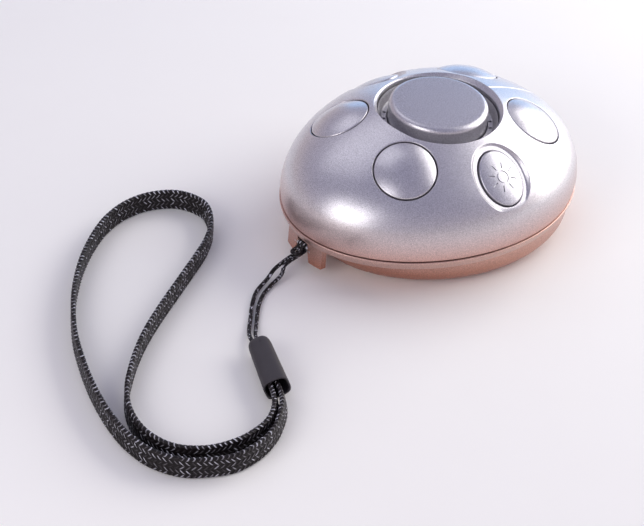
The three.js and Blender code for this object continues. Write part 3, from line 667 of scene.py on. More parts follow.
# --------------------------------------------------------- dome surface maths
def dome_at(s):
    return SEAM + RISE * np.maximum(1 - np.power(np.clip(s, 0, 1), PN), 0) ** (1 / PM)

def s_of(x, y):
    s = np.hypot(x / A, y / B)
    for _ in range(30):
        co = np.clip(x / (A * np.maximum(s, 1e-6)), -1, 1)
        s = np.hypot(x / A, y / (B * (1 + EGG * co)))
    return s

def s_of_z(z):
    return (1 - ((np.maximum(z, SEAM) - SEAM) / RISE) ** PM) ** (1 / PN)

def implicit(P):
    return s_of(P[..., 0], P[..., 1]) ** PN + (np.maximum(P[..., 2] - SEAM, 0) / RISE) ** PM - 1

def dome_normal(P):
    e = 0.02
    g = np.stack([(implicit(P + e * d) - implicit(P - e * d)) / (2 * e) for d in np.eye(3)], -1)
    return g / np.linalg.norm(g, axis=-1, keepdims=True)

def hit(O, D, lo=-14.0, hi=6.0):
    """Point where the line O + h D, with D pointing out, crosses the dome."""
    lo = np.full(O.shape[:-1], lo); hi = np.full(O.shape[:-1], hi)
    for _ in range(46):
        mid = (lo + hi) / 2
        inside = implicit(O + mid[..., None] * D) < 0
        lo = np.where(inside, mid, lo); hi = np.where(inside, hi, mid)
    return O + ((lo + hi) / 2)[..., None] * D, (lo + hi) / 2

def spot_frame(x, y):
    z = float(dome_at(s_of(np.array(x), np.array(y))))
    O = np.array([x, y, z])
    n = dome_normal(O[None])[0]
    u = np.cross([0, 1.0, 0], n); u /= np.linalg.norm(u)
    v = np.cross(n, u)
    return np.stack([u, v, n], 1), O

SPOT_M = [spot_frame(*p) for p in SPOTS]
SIDE_M = [spot_frame(*p) for p in SIDE]

# flat map of the dome: distance from the top along the shell, and the plan angle
_s = np.r_[1 - np.linspace(1, 0, 4001)[:-1] ** 3, 1.0]
_zz = dome_at(_s)
_al = np.r_[0, np.cumsum(np.hypot(np.diff(_s) * 38.0, np.diff(_zz)))]
_al /= _al[-1]
def rho_of_s(s): return np.interp(s, _s, _al)
def s_of_rho(r): return np.interp(r, _al, _s)
def theta_of(x, y):
    s = np.maximum(s_of(x, y), 1e-9)
    co = np.clip(x / (A * s), -1, 1)
    return np.arctan2(y / (B * (1 + EGG * co) * s), co)
def to_map(P):
    s, th = s_of_z(P[..., 2]), theta_of(P[..., 0], P[..., 1])
    sp = s_of(P[..., 0], P[..., 1])
    s = np.where(P[..., 2] < SEAM + 14, s, sp)
    rho = rho_of_s(np.clip(s, 0, 1))
    return np.stack([rho * 57 * np.cos(th), rho * 48 * np.sin(th)], -1)
def from_map(D):
    a, b = D[..., 0] / 57, D[..., 1] / 48
    rho = np.hypot(a, b); th = np.arctan2(b, a)
    s = s_of_rho(np.clip(rho, 0, 1))
    x = A * s * np.cos(th); y = B * (1 + EGG * np.cos(th)) * s * np.sin(th)
    return np.stack([x, y, dome_at(s)], -1)

# ------------------------------------------------------------------ top shell
def smin(a, b, k):
    h = np.clip(0.5 + 0.5 * (b - a) / k, 0, 1)
    return b * (1 - h) + a * h - k * h * (1 - h)

def top_shell():
    V, F, NR = [], [], []
    def add(P, N=None):
        i0 = sum(len(v) for v in V)
        V.append(P)
        NR.append(np.full(P.shape, np.nan) if N is None else N)
        return np.arange(i0, i0 + len(P))
    def strip(a, b):
        n = len(a)
        for k in range(n):
            k2 = (k + 1) % n
            F.append((a[k], a[k2], b[k2], b[k]))
    rings = []      # (map polygon, ring on the surface, inner-surface closing ring)
    def surface_ring(M, r, n, ku=1.0, kv=1.0):
        t = np.arange(n) * 2 * np.pi / n
        O = M[1] + r * (ku * np.cos(t)[:, None] * M[0][:, 0] + kv * np.sin(t)[:, None] * M[0][:, 1])
        D = np.broadcast_to(M[0][:, 2], O.shape)
        return hit(O, D) + (O, D)
    # round spots
    for M in SPOT_M:
        n = 120
        P0, _, _, _ = surface_ring(M, SPOT_HOLE + 0.32, n)
        P1, _, _, D = surface_ring(M, SPOT_HOLE, n)
        P2 = P1 - 0.34 * D
        a = add(P0, dome_normal(P0)); first = a
        for t in (0.2, 0.4, 0.6, 0.8, 1.0):
            b = add((1 - t) ** 2 * P0 + 2 * t * (1 - t) * P1 + t * t * P2)
            strip(a, b); a = b
        for d in (0.9, 2.9):
            b = add(P1 - d * D); strip(a, b); a = b
        rings.append((P0, first, a))
    # dished surrounds of the two side buttons
    for M in SIDE_M:
        n = 150
        rr = np.r_[9.76, 9.72, 9.68, np.linspace(9.62, 8.2, 24), 8.0, 7.8, 7.6, 7.45]
        prev = first = None
        rows = []
        for r in rr:
            P, h, O, D = surface_ring(M, r, n, OVAL_U, OVAL_V)
            dish = np.full(n, -DISH_D) if r < 8.6 else np.full(n, -DISH_D + (r - 8.6) * (1.3 / 1.4))
            dish = np.where(r < 8.9, -DISH_D + max(0.0, r - 8.3) ** 2 * 0.78, dish)
            H = h if r > 9.7 else smin(h, dish, 0.06 + 0.30 * min(1.0, max(0.0, (9.64 - r) / 0.7)))
            Q = P + (H - h)[:, None] * D
            N = dome_normal(P) if r > 9.7 else None
            a = add(Q, N)
            if prev is None: first = a
            else: strip(prev, a)
            prev = a
        P1, h, O, D = surface_ring(M, BTN_HOLE, n, OVAL_U, OVAL_V)
        H = smin(h, np.full(n, -DISH_D), 0.16)
        P1 = P1 + (H - h)[:, None] * D
        P0 = Q; P2 = P1 - 0.25 * D
        for t in (0.25, 0.5, 0.75, 1.0):
            b = add((1 - t) ** 2 * P0 + 2 * t * (1 - t) * P1 + t * t * P2); strip(prev, b); prev = b
        for d in (0.8, 2.6):
            b = add(P1 - d * D); strip(prev, b); prev = b
        Pf, _, _, _ = surface_ring(M, 9.76, n, OVAL_U, OVAL_V)
        rings.append((Pf, first, prev))
    # opening round the centre button
    n = 240
    t = np.arange(n) * 2 * np.pi / n
    Mz = (np.eye(3), np.array([DISC_X, 0, 38.0]))
    prev = None
    for r in np.r_[17.12, np.linspace(17.05, 16.18, 12)]:
        P, h, O, D = surface_ring(Mz, r, n)
        cone = np.full(n, 34.4 + (r - OPEN_R) * 1.125) - 38.0
        H = h if r > 17.1 else smin(h, cone, 0.12)
        a = add(P + (H - h)[:, None] * D, dome_normal(P) if r > 17.1 else None)
        if prev is None: first = a; Pf = P
        else: strip(prev, a)
        prev = a; P0 = P + (H - h)[:, None] * D
    P1, h, O, D = surface_ring(Mz, OPEN_R, n)
    H = smin(h, np.full(n, 34.4 - 38.0), 0.12)
    P1 = P1 + (H - h)[:, None] * D
    P2 = P1 - 0.2 * D
    for tt in (0.25, 0.5, 0.75, 1.0):
        b = add((1 - tt) ** 2 * P0 + 2 * tt * (1 - tt) * P1 + tt * tt * P2); strip(prev, b); prev = b
    for z in (33.0, 31.5):
        Q = P1.copy(); Q[:, 2] = z
        b = add(Q); strip(prev, b); prev = b
    rings.append((Pf, first, prev))
    # lower edge, with the torch window's notch in the tail
    f = 0.18
    thw = 0.0
    lo_, hi_ = 0.0, 1.0
    for _ in range(50):
        m_ = (lo_ + hi_) / 2
        aa = math.atan2(B * (1 + EGG * math.cos(m_)) * math.sin(m_), A * math.cos(m_))
        if aa < WIN: lo_ = m_
        else: hi_ = m_
    thw = lo_
    K = 36.0
    zb, zt = SEAM + 0.15, 16.6
    def corner(cx, cz, r, a0, a1, nn=6):
        return [(cx + r * math.cos(math.radians(a0 + (a1 - a0) * k / nn)), cz + r * math.sin(math.radians(a0 + (a1 - a0) * k / nn))) for k in range(nn + 1)]
    Q = thw * K
    def notch(off):
        r1, r2 = 0.5, 1.0
        q = Q + off
        pts = []
        pts += corner(-(q) - (r1 - off), zb + off + (r1 - off), r1 - off, 270, 360)
        pts += corner(-(q) + (r2 + off), zt + off - (r2 + off), r2 + off, 180, 90)
        top = np.linspace(-(q - r2 - off), q - r2 - off, 42)[1:-1]
        pts += [(v, zt + off) for v in top]
        pts += corner(q - (r2 + off), zt + off - (r2 + off), r2 + off, 90, 0)
        pts += corner(q + (r1 - off), zb + off + (r1 - off), r1 - off, 180, 270)
        return pts
    nr = 300
    def loop(off):
        pts = notch(off)
        qe = Q + 0.5
        end = qe / K
        th = np.linspace(end, 2 * math.pi - end, nr + 2)[1:-1]
        return np.array([(q / K, z) for q, z in pts] + [(a, zb + off) for a in th])
    def lift(L):
        s = s_of_z(L[:, 1])
        return np.stack([A * s * np.cos(L[:, 0]), B * (1 + EGG * np.cos(L[:, 0])) * s * np.sin(L[:, 0]), L[:, 1]], 1)
    P0, P1 = lift(loop(f)), lift(loop(0.0))
    inw = dome_normal(P1); inw[:, 2] = 0; inw = -inw / np.linalg.norm(inw, axis=1)[:, None]
    a = add(P0, dome_normal(P0)); firstb = a; prev = a
    P2 = P1 + f * inw
    for tt in (0.2, 0.4, 0.6, 0.8, 1.0):
        b = add((1 - tt) ** 2 * P0 + 2 * tt * (1 - tt) * P1 + tt * tt * P2); strip(prev, b); prev = b
    b = add(P1 + (WALL - 0.2) * inw); strip(prev, b); lastb = b
    rimP0 = P0
    # flat map, constraints and fill points
    vs, es, lab = [], [], []
    def ring2d(P, idx):
        D = to_map(P)
        i0 = len(vs)
        vs.extend([Vector(d) for d in D]); lab.extend(list(idx))
        k = len(D)
        es.extend([(i0 + j, i0 + (j + 1) % k) for j in range(k)])
        return D
    polys = [ring2d(P, i) for P, i, _ in rings]
    outer = ring2d(rimP0, firstb)
    # the fine groove from the opening to the tail
    gx = np.arange(17.55, 35.6, 0.18)
    gcols = []
    for gy, dz in ((-0.42, 0.0), (-0.27, 0.0), (-0.17, -0.20), (0.0, -0.26), (0.17, -0.20), (0.27, 0.0), (0.42, 0.0)):
        P = np.stack([gx, np.full(len(gx), gy), dome_at(s_of(gx, np.full(len(gx), gy)))], 1)
        N = dome_normal(P)
        fade = np.clip((gx - 17.55) / 0.5, 0, 1) * np.clip((35.6 - gx) / 2.0, 0, 1)
        D = to_map(P)
        idx = add(P + (dz * fade)[:, None] * N, N if dz == 0.0 else None)
        i0 = len(vs)
        vs.extend([Vector(d) for d in D]); lab.extend(list(idx))
        es.extend([(i0 + j, i0 + j + 1) for j in range(len(gx) - 1)])
        gcols.append(D)
    def inside(poly, pts):
        x, y = pts[:, 0], pts[:, 1]
        c = np.zeros(len(pts), bool)
        j = len(poly) - 1
        for i in range(len(poly)):
            xi, yi, xj, yj = poly[i, 0], poly[i, 1], poly[j, 0], poly[j, 1]
            if yi != yj:
                c ^= ((yi > y) != (yj > y)) & (x < (xj - xi) * (y - yi) / (yj - yi) + xi)
            j = i
        return c
    h = 0.80
    gxs = np.arange(-60, 60, h); gys = np.arange(-52, 52, h * 0.866)
    G = np.array([(x + (h / 2 if k % 2 else 0), y) for k, y in enumerate(gys) for x in gxs])
    keep = inside(outer, G)
    for p in polys: keep &= ~inside(p, G)
    G = G[keep]
    allb = np.concatenate(polys + [outer] + gcols)
    dmin = np.full(len(G), 1e9)
    for c0 in range(0, len(allb), 64):
        d = np.hypot(G[:, None, 0] - allb[None, c0:c0 + 64, 0], G[:, None, 1] - allb[None, c0:c0 + 64, 1]).min(1)
        dmin = np.minimum(dmin, d)
    G = G[dmin > 0.33]
    PG = from_map(G)
    idx = add(PG, dome_normal(PG))
    vs.extend([Vector(g) for g in G]); lab.extend(list(idx))
    rv, re, rf, ov, oe, of_ = delaunay_2d_cdt(vs, es, [], 0, 1e-7, True)
    rv = np.array([tuple(v) for v in rv])
    cen = np.array([rv[list(f)].mean(0) for f in rf])
    ok = inside(outer, cen)
    for p in polys: ok &= ~inside(p, cen)
    m_ = [o[0] if len(o) else -1 for o in ov]
    tri = []
    for k, f3 in enumerate(rf):
        if ok[k] and all(m_[i] >= 0 for i in f3):
            tri.append([lab[m_[i]] for i in f3])
    Vall = np.concatenate(V); Nall = np.concatenate(NR)
    tri = np.array(tri)
    nn = np.cross(Vall[tri[:, 1]] - Vall[tri[:, 0]], Vall[tri[:, 2]] - Vall[tri[:, 0]])
    flip = (nn * dome_normal(Vall[tri].mean(1))).sum(1) < 0
    tri[flip] = tri[flip][:, ::-1]
    F.extend([tuple(t) for t in tri])
    # inner surface: the same triangles, one wall thickness inwards
    used = np.unique(tri)
    Pn = Vall[used]
    inner = Pn - WALL * dome_normal(Pn)
    inner[:, 2] = np.maximum(inner[:, 2], zb)
    idx = add(inner)
    mp = {int(u): int(i) for u, i in zip(used, idx)}
    F.extend([tuple(mp[int(i)] for i in t[::-1]) for t in tri])
    for P, first, last in rings:
        strip(last, np.array([mp[int(i)] for i in first]))
    strip(lastb, np.array([mp[int(i)] for i in firstb]))
    Vall = np.concatenate(V); Nall = np.concatenate(NR)
    w_ = np.clip((15.2 - Vall[:, 2]) / 3.0, 0, 1)
    w_ = w_ * w_ * (3 - 2 * w_)
    Vall[:, 0] *= 1 - 0.0085 * w_
    Vall[:, 1] *= 1 - 0.0105 * w_
    return Vall, F, Nall

V_, F_, N_ = top_shell()
me = bpy.data.meshes.new("dome_shell")
me.from_pydata((V_ * MM).tolist(), [], [tuple(int(i) for i in f) for f in F_])
dome_o = link(bpy.data.objects.new("dome_shell", me))
bm = bmesh.new(); bm.from_mesh(me); bmesh.ops.recalc_face_normals(bm, faces=bm.faces); bm.to_mesh(me); bm.free()
finish_mesh(dome_o, MAT["silver_paint"])
vn = np.empty(len(me.vertices) * 3, dtype=np.float32); me.vertex_normals.foreach_get("vector", vn); vn = vn.reshape(-1, 3)
kk = ~np.isnan(N_[:, 0]); vn[kk[:len(vn)]] = N_[kk]
me.normals_split_custom_set_from_vertices(vn.tolist())
attach(dome_o, "root", ("top_shell",))

# ------------------------------------------------------- caps, buttons, ring
CAP_R = SPOT_R + 0.02
cap_prof = [(0, -1.4), (6.4, -1.4), (6.4, -5.2), (8.6, -5.2), (8.6, -4.3), (CAP_R, -4.3), (CAP_R, -0.95)] + \
    [(CAP_R - 0.42 + 0.42 * math.cos(math.radians(a)), -0.95 + 0.42 * math.sin(math.radians(a))) for a in (15, 30, 45, 60, 72)]
r0, z0 = cap_prof[-1]
for k in range(1, 22):
    u = k / 21
    cap_prof.append((r0 * (1 - u), z0 + (1.15 - z0) * (1 - (1 - u) ** 2.2)))
for i, M in enumerate(SPOT_M):
    turned(f"spot_{i + 1}", cap_prof, 128, at=M, mat=MAT["silver_paint"], sharp=38, body="root", slot="silver_paint", replaces=(f"spot_cap_{i + 1}",))

def side_button(name, M, body, rep, engraved):
    prof = [(0, -7.5), (1.6, -7.5), (1.6, -5.4), (7.5, -5.4), (7.5, -4.5), (BTN_R, -4.5), (BTN_R, -1.15)]
    prof += [(BTN_R - 0.38 + 0.38 * math.cos(math.radians(a)), -1.15 + 0.38 * math.sin(math.radians(a))) for a in (15, 30, 45, 60, 74)]
    r0, z0 = prof[-1]
    for k in range(1, 22):
        u = k / 21
        prof.append((r0 * (1 - u), z0 + (-0.02 - z0) * (1 - (1 - u) ** 2.0)))
    o = turned(name, prof, 128, sharp=38, mat=MAT["silver_button"])
    o.data.transform(Matrix.Diagonal((OVAL_U, OVAL_V, 1, 1)))
    if engraved:
        cut = []
        ring = turned("sun_ring", [(1.42, -0.34), (1.42, 0.4), (1.72, 0.4), (1.72, -0.34)], 64, closed=True)
        boolean(o, ring)
        for k in range(8):
            a = math.radians(45 * k + 22.5)
            c, s = math.cos(a), math.sin(a)
            pts = [(2.35, -0.16), (4.0, -0.16), (4.0, 0.16), (2.35, 0.16)]
            ray = prism_obj([(c * x - s * y, s * x + c * y) for x, y in pts], -0.62, 0.4, "ray")
            boolean(o, ray)
        finish_mesh(o, MAT["silver_button"], True, 30)
    else:
        for a0 in (0.0,):
            mark = turned("mode_mark", [(1.9, -0.40), (1.9, 0.4), (2.2, 0.4), (2.2, -0.40)], 64, closed=True)
            boolean(o, mark)
            ray = prism_obj([(-0.16, 0.7), (0.16, 0.7), (0.16, 2.9), (-0.16, 2.9)], -0.45, 0.4, "ray")
            boolean(o, ray)
        finish_mesh(o, MAT["silver_button"], True, 30)
    R = Matrix(M[0].tolist()).to_4x4(); R.translation = Vector(M[1] * MM)
    o.data.transform(R)
    o.data.update()
    attach(o, body, (rep,))
    return o
side_button("torch_key_cap", SIDE_M[0], "torch_key", "torch_button", True)
side_button("mode_key_cap", SIDE_M[1], "mode_key", "mode_button", False)

bev = 1.45
disc_prof = [(0, 22.6), (1.8, 22.6), (1.8, 33.0), (11.3, 33.0), (11.3, 28.2), (14.0, 28.2), (14.0, 29.3), (DISC_R, 29.3), (DISC_R, DISC_TOP - bev)] + \
    [(DISC_R - bev + bev * math.cos(math.radians(a)), DISC_TOP - bev + bev * math.sin(math.radians(a))) for a in range(9, 91, 9)] + \
    [(r, DISC_TOP + 0.14 * (1 - (r / 11.55) ** 2)) for r in (11.3, 10.6, 9.5, 8.0, 6.5, 5.0, 3.5, 2.0, 1.0)] + [(0, DISC_TOP + 0.14)]
turned("test_key_cap", disc_prof, 160, at=shift(DISC_X, 0, 0), sharp=38, mat=MAT["silver_button"], body="centre", slot="silver_button", replaces=("centre_button",))

ring_prof = [(13.35, MOAT_Z - 1.1), (15.2, MOAT_Z - 1.1), (15.2, 29.7), (16.2, 29.7), (16.2, MOAT_Z - 0.7), (15.8, MOAT_Z - 0.3), (15.8, 33.3), (15.72, 33.4), (15.6, 33.2), (15.2, 32.35), (14.8, 31.6), (14.62, 31.32), (14.45, 31.22), (14.3, MOAT_Z), (13.35, MOAT_Z)]
ring_o = turned("moat_ring", ring_prof, 204, at=shift(DISC_X, 0, 0), closed=True, mat=MAT["ring_plastic"])
cutV, cutF = [], []
HOLE_ANGLES = [math.radians(c + o) for c in (-40.0, -8.0, 30.0, 66.0, 106.0, 140.0, 172.0, -148.0, -112.0, -76.0) for o in (-6.2, 6.2)]
for a in HOLE_ANGLES:
    cx, cy = DISC_X + 14.0 * math.cos(a), 14.0 * math.sin(a)
    n = 20; i0 = len(cutV)
    pr = [(0.42, 29), (0.42, MOAT_Z - 0.10), (0.50, MOAT_Z + 0.02), (0.50, 32.5)]
    for rr, zz in pr:
        cutV += [(cx + rr * math.cos(2 * math.pi * j / n), cy + rr * math.sin(2 * math.pi * j / n), zz) for j in range(n)]
    for q in range(3):
        for j in range(n):
            j2 = (j + 1) % n
            cutF.append((i0 + q * n + j, i0 + q * n + j2, i0 + (q + 1) * n + j2, i0 + (q + 1) * n + j))
    cutF.append(tuple(i0 + j for j in range(n))[::-1]); cutF.append(tuple(i0 + 3 * n + j for j in range(n)))
holes_o = recentre(make("holes", cutV, cutF))
boolean(ring_o, holes_o)
finish_mesh(ring_o, MAT["ring_plastic"], True, 35)
attach(ring_o, "root", ("sound_ring",))

# --------------------------------------------------------------- bottom shell
def egg_obj(profile, n, ax, by, x0=0.0, name="egg", closed=False):
    V, F = egg_data(profile, n, ax, by, x0, closed=closed)
    return recentre(make(name, V, F))

zt = SEAM - 0.03
rim_prof = [(0, RIM_Z), (0.966, RIM_Z)] + [(0.966 + 0.012 * math.sin(math.radians(a)), RIM_Z + 0.40 * (1 - math.cos(math.radians(a)))) for a in (30, 60, 90)] + \
    [(0.984, RIM_Z + 0.75), (0.990, RIM_Z + 1.2), (0.9965, zt - 0.75), (0.9990, zt - 0.42)] + \
    [(0.9950 + 0.0042 * math.cos(math.radians(a)), zt - 0.20 + 0.18 * math.sin(math.radians(a))) for a in (0, 25, 50, 75, 90)] + [(0.9885, zt - 0.01), (0.9875, zt - 0.07), (0.986, zt - 0.08), (0, zt - 0.08)]
bowl_prof = [(0, 0), (0.76, 0), (0.82, 0.02), (0.845, 0.12), (0.866, 0.34), (0.890, 0.78), (0.914, 1.34), (0.936, 2.0), (0.953, 2.7), (0.970, 3.6), (0.983, 4.6), (0.990, 5.7), (0.995, 7.4), (1.0, RIM_Z + 0.2), (0, RIM_Z + 0.2)]
base = egg_obj(rim_prof, 224, A, B, name="base_shell")
bowl = egg_obj(bowl_prof, 224, BOWL_L, BOWL_W, BOWL_X, "bowl")
boolean(base, bowl, "UNION", keep=True)
boolean(base, egg_obj([(0, FLOOR), (0.9, FLOOR), (0.97, 5.2), (1, RIM_Z + 1.5), (1, 13), (0, 13)], 96, BOWL_L - 2.4, BOWL_W - 2.4, BOWL_X))
boolean(base, egg_obj([(0, RIM_Z + 1.5), (1, RIM_Z + 1.5), (1, 13), (0, 13)], 128, A - WALL - 0.3, B - WALL - 0.3))
lip = egg_obj([(0, RIM_Z + 1.4), (1, RIM_Z + 1.4), (1, 13.2), (0, 13.2)], 128, A - WALL - 0.35, B - WALL - 0.35)
boolean(lip, egg_obj([(0, 9), (1, 9), (1, 14), (0, 14)], 128, A - WALL - 1.5, B - WALL - 1.5))
boolean(lip, box_obj(28, 60, -18.5, 18.5, SEAM - 0.16, 14))
boolean(base, lip, "UNION")
BOSSES = [(13.5, 23.0, 0), (13.5, -23.0, 0), (-31.0, 0, 2.35)]
for (x, y, z) in BOSSES:
    if z > 1:
        boolean(base, rod_obj(3.4, z + 0.6, 6.5, x, y, 48), "UNION")
    boolean(base, rod_obj(2.5, z + 0.6, 12.9, x, y, 40), "UNION")
    boolean(base, rod_obj(1.2, z - 1, 14, x, y, 28))
    boolean(base, rod_obj(2.4, z - 1, z + 2.4, x, y, 48))
for (x, y) in [(-25.5, 0), (34.0, 0)]:
    boolean(base, rod_obj(2.4, 2.6, 13.5, x, y, 40), "UNION")
CELL_X, CELL_L, CELL_Y, CELL_Z, CELL_R = 5.0, 43.3, 5.6, 7.7, 5.25
DOOR_W, DOOR_T, DOOR_END = 24.6, 1.7, 32.0
boolean(base, box_obj(CELL_X - CELL_L / 2 - 3.2, CELL_X + CELL_L / 2 + 2.2, -11.3, 11.3, -1, 6))
boolean(base, box_obj(-40, DOOR_END + 0.3, -DOOR_W / 2 - 0.3, DOOR_W / 2 + 0.3, -1, DOOR_T + 0.65))
boolean(base, box_obj(-40, DOOR_END + 0.3, -DOOR_W / 2 - 1.25, DOOR_W / 2 + 1.25, 0.95, DOOR_T + 0.65))
# the lug wall follows the nose, with the notch and the pin across it
lug = egg_obj([(0, 3.1), (1, 3.1), (1, RIM_Z + 0.2), (0, RIM_Z + 0.2)], 224, A - 1.5, B - 1.5, name="lug")
boolean(lug, box_obj(-60, -38.5, -7.0, 7.2, 3.0, RIM_Z + 0.3), "INTERSECT")
def yz_prism(points, x0, x1, name="cut"):
    n = len(points)
    V = [(x0, y, z) for y, z in points] + [(x1, y, z) for y, z in points]
    F = [tuple(range(n)), tuple(range(n, 2 * n))] + [(i, (i + 1) % n, n + (i + 1) % n, n + i) for i in range(n)]
    return recentre(make(name, V, F, smooth=False))
boolean(lug, yz_prism([(-3.2, 2.1), (4.0, 2.1), (2.5, 5.7), (2.1, 8.7), (-2.1, 8.7), (-2.4, 5.7)], -50, -30))
bevel(lug, 0.28, 3, 40)
boolean(base, lug, "UNION")
finish_mesh(base, MAT["silver_base"], True, 28)
weighted(base)
attach(base, "root", ("bottom_shell",))

def door_obj():
    d = bowl
    d2 = d.copy(); d2.data = d.data.copy(); link(d2)
    boolean(d, box_obj(-40, DOOR_END, -DOOR_W / 2, DOOR_W / 2, 0.25, DOOR_T + 0.35), "INTERSECT")
    boolean(d2, box_obj(-19, DOOR_END, -DOOR_W / 2 - 0.95, DOOR_W / 2 + 0.95, 1.25, DOOR_T + 0.35), "INTERSECT")
    boolean(d, d2, "UNION")
    for i in range(5):
        boolean(d, box_obj(-14 + 2 * i, -13.1 + 2 * i, -5, 5, 0, 0.65))
    bevel(d, 0.16, 3, 50)
    d.name = "cell_door"
    finish_mesh(d, MAT["silver_base"], True, 40)
    weighted(d)
    attach(d, "door", ("battery_door",))
door_obj()

# ------------------------------------------------------ smaller visible parts
def steel(name, o, rep, body="root"):
    finish_mesh(o, MAT["bright_steel"], True, 35)
    attach(o, body, (rep,))
for i, (x, y, z) in enumerate(BOSSES):
    zb_ = z + 0.5
    ln = 17 if z < 1 else 14
    V, F = lathe_data([(0, 0), (1.6, 0), (1.85, 0.1), (2.05, 0.4), (2.1, 0.8), (2.1, 1.7), (0.8, 1.7), (0.8, ln - 1), (0.25, ln), (0, ln)], 56)
    o = recentre(make(f"shell_screw_{i + 1}", V + np.array([x, y, zb_]), F))
    for a in (0, 90):
        c = box_obj(x - (1.15 if a == 0 else 0.28), x + (1.15 if a == 0 else 0.28), y - (0.28 if a == 0 else 1.15), y + (0.28 if a == 0 else 1.15), zb_ - 1, zb_ + 0.9)
        boolean(o, c)
    steel(o.name, o, f"case_screw_{i + 1}")

pv, pf = lathe_data([(0, -3.3), (0.6, -3.3), (0.74, -3.24), (0.8, -3.1), (0.8, 3.1), (0.74, 3.24), (0.6, 3.3), (0, 3.3)], 48)
pv = np.stack([pv[:, 0] + PX, pv[:, 2], pv[:, 1] + PZ], 1)
o = recentre(make("lug_rod", pv, pf)); steel("lug_rod", o, "lug_pin")

cell_prof = [(0, -CELL_L / 2), (3.4, -CELL_L / 2), (3.5, -CELL_L / 2 + 0.2), (CELL_R - 0.5, -CELL_L / 2 + 0.22), (CELL_R - 0.12, -CELL_L / 2 + 0.4), (CELL_R, -CELL_L / 2 + 0.8),
    (CELL_R, CELL_L / 2 - 0.8), (CELL_R - 0.12, CELL_L / 2 - 0.45), (CELL_R - 0.5, CELL_L / 2 - 0.22), (1.9, CELL_L / 2 - 0.2), (1.9, CELL_L / 2 + 0.6), (1.7, CELL_L / 2 + 0.9), (0, CELL_L / 2 + 0.9)]
for nm, y, sg in (("left", CELL_Y, 1), ("right", -CELL_Y, -1)):
    cv, cf = lathe_data(cell_prof, 72)
    cv = np.stack([CELL_X + sg * cv[:, 2], y + cv[:, 1], CELL_Z - sg * cv[:, 0]], 1)
    o = recentre(make(f"cell_{nm}", cv, cf)); finish_mesh(o, MAT["cell_jacket"], True, 35)
    attach(o, "root", (f"battery_{nm}",))

# torch lens
def lens_obj():
    outer = egg_obj([(0, SEAM), (1, SEAM), (1.0, 12.6), (0.9995, 13.5), (0.9985, 14.4), (0.996, 15.4), (0.9915, 16.1), (0.985, 16.4), (0, 16.4)], 256, A - 0.15, B - 0.15, name="lens")
    inner = egg_obj([(0, SEAM - 1), (1, SEAM - 1), (1, 17), (0, 17)], 128, A - 2.1, B - 2.1)
    boolean(outer, inner)
    e = 0.012
    pts = [(20, 0), (60 * math.cos(-WIN + e), 60 * math.sin(-WIN + e)), (60, 0), (60 * math.cos(WIN - e), 60 * math.sin(WIN - e))]
    boolean(outer, prism_obj(pts, SEAM + 0.15, 16.3), "INTERSECT")
    bevel(outer, 0.2, 3, 45)
    outer.name = "torch_window"
    finish_mesh(outer, MAT["clear_lens"], True, 40)
    attach(outer, "root", ("torch_lens",))
lens_obj()

# ------------------------------------------------- materials of the CAD nodes
NODE_MAT = {
    "torch_switch_plunger": "black_plastic", "mode_switch_plunger": "black_plastic", "test_switch_plunger": "black_plastic",
    "torch_switch": "tin_can", "mode_switch": "tin_can", "test_switch": "tin_can",
    "torch_switch_board": "circuit_board", "mode_switch_board": "circuit_board", "main_board": "circuit_board",
    "sounder": "black_plastic", "co_sensor": "tin_can", "sensor_gasket": "gasket_rubber", "controller_chip": "black_plastic",
    "status_led": "red_lens", "capacitor": "capacitor_sleeve", "battery_spring_left": "bright_steel", "contact_front": "bright_steel",
    "contact_rear": "bright_steel", "torch_led_1": "clear_lens", "torch_led_2": "clear_lens", "board_screw_1": "bright_steel", "board_screw_2": "bright_steel",
}
for nm, mt in NODE_MAT.items():
    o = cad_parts[nm]
    o.data.materials.clear()
    o.data.materials.append(MAT[mt])
    try:
        o.data.set_sharp_from_angle(angle=math.radians(40))
    except Exception:
        pass
    m = o.modifiers.new("edges", "BEVEL")
    m.width, m.segments, m.limit_method, m.angle_limit = 0.12 * MM, 2, "ANGLE", math.radians(35)

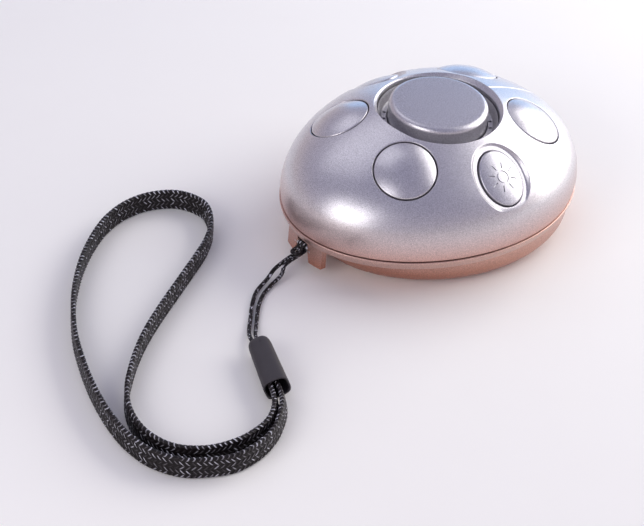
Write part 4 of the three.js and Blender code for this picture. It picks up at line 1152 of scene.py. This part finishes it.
# ---------------------------------------------------------------- the studio
fl = make("floor", [(-900, -900, -0.02), (900, -900, -0.02), (900, 900, -0.02), (-900, 900, -0.02)], [(0, 1, 2, 3)], mat=floor_material(), smooth=False)

def area(name, loc, target, size, energy, colour=(1, 1, 1), size_y=None):
    d = bpy.data.lights.new(name, "AREA")
    d.energy, d.color = energy, colour
    d.shape = "RECTANGLE"; d.size = size; d.size_y = size_y or size
    o = link(bpy.data.objects.new(name, d))
    o.location = Vector(loc)
    o.rotation_euler = (Vector(target) - Vector(loc)).to_track_quat("-Z", "Y").to_euler()
    return o

scene.view_settings.view_transform = "Standard"
w = bpy.data.worlds.new("studio"); scene.world = w
w.use_nodes = True
nt = w.node_tree
bg = nt.nodes["Background"]
tc = nt.nodes.new("ShaderNodeTexCoord"); sp = nt.nodes.new("ShaderNodeSeparateXYZ")
nt.links.new(tc.outputs["Generated"], sp.inputs[0])
rp = ramp(nt, sp.outputs["Z"], [(0.0, (0.80, 0.62, 0.56)), (0.10, (0.54, 0.48, 0.53)), (0.35, (0.43, 0.40, 0.51)), (0.62, (0.32, 0.31, 0.43)), (0.85, (0.29, 0.285, 0.41)), (1.0, (0.29, 0.285, 0.42))])
nt.links.new(rp, bg.inputs["Color"])
bg.inputs["Strength"].default_value = 1.0

def panel(name, az, el, dist, wide, high, radiance, colour):
    a, e = math.radians(az), math.radians(el)
    loc = (math.sin(a) * math.cos(e) * dist, -math.cos(a) * math.cos(e) * dist, math.sin(e) * dist + 0.02)
    o = area(name, loc, (0, 0, 0.02), wide, radiance * math.pi * wide * high, colour, high)
    o.visible_camera = False
    return o
panel("left_box", -78, 24, 0.50, 0.30, 0.26, 3.1, (1.0, 0.98, 0.96))
panel("right_box", 80, 26, 0.50, 0.58, 0.52, 3.2, (1.0, 0.975, 0.93))
panel("blue_back", 128, 9, 0.45, 0.46, 0.17, 0.95, (0.08, 0.50, 1.0))
panel("overhead_far", -175, 56, 1.2, 0.8, 0.8, 0.75, (0.98, 0.97, 1.0))
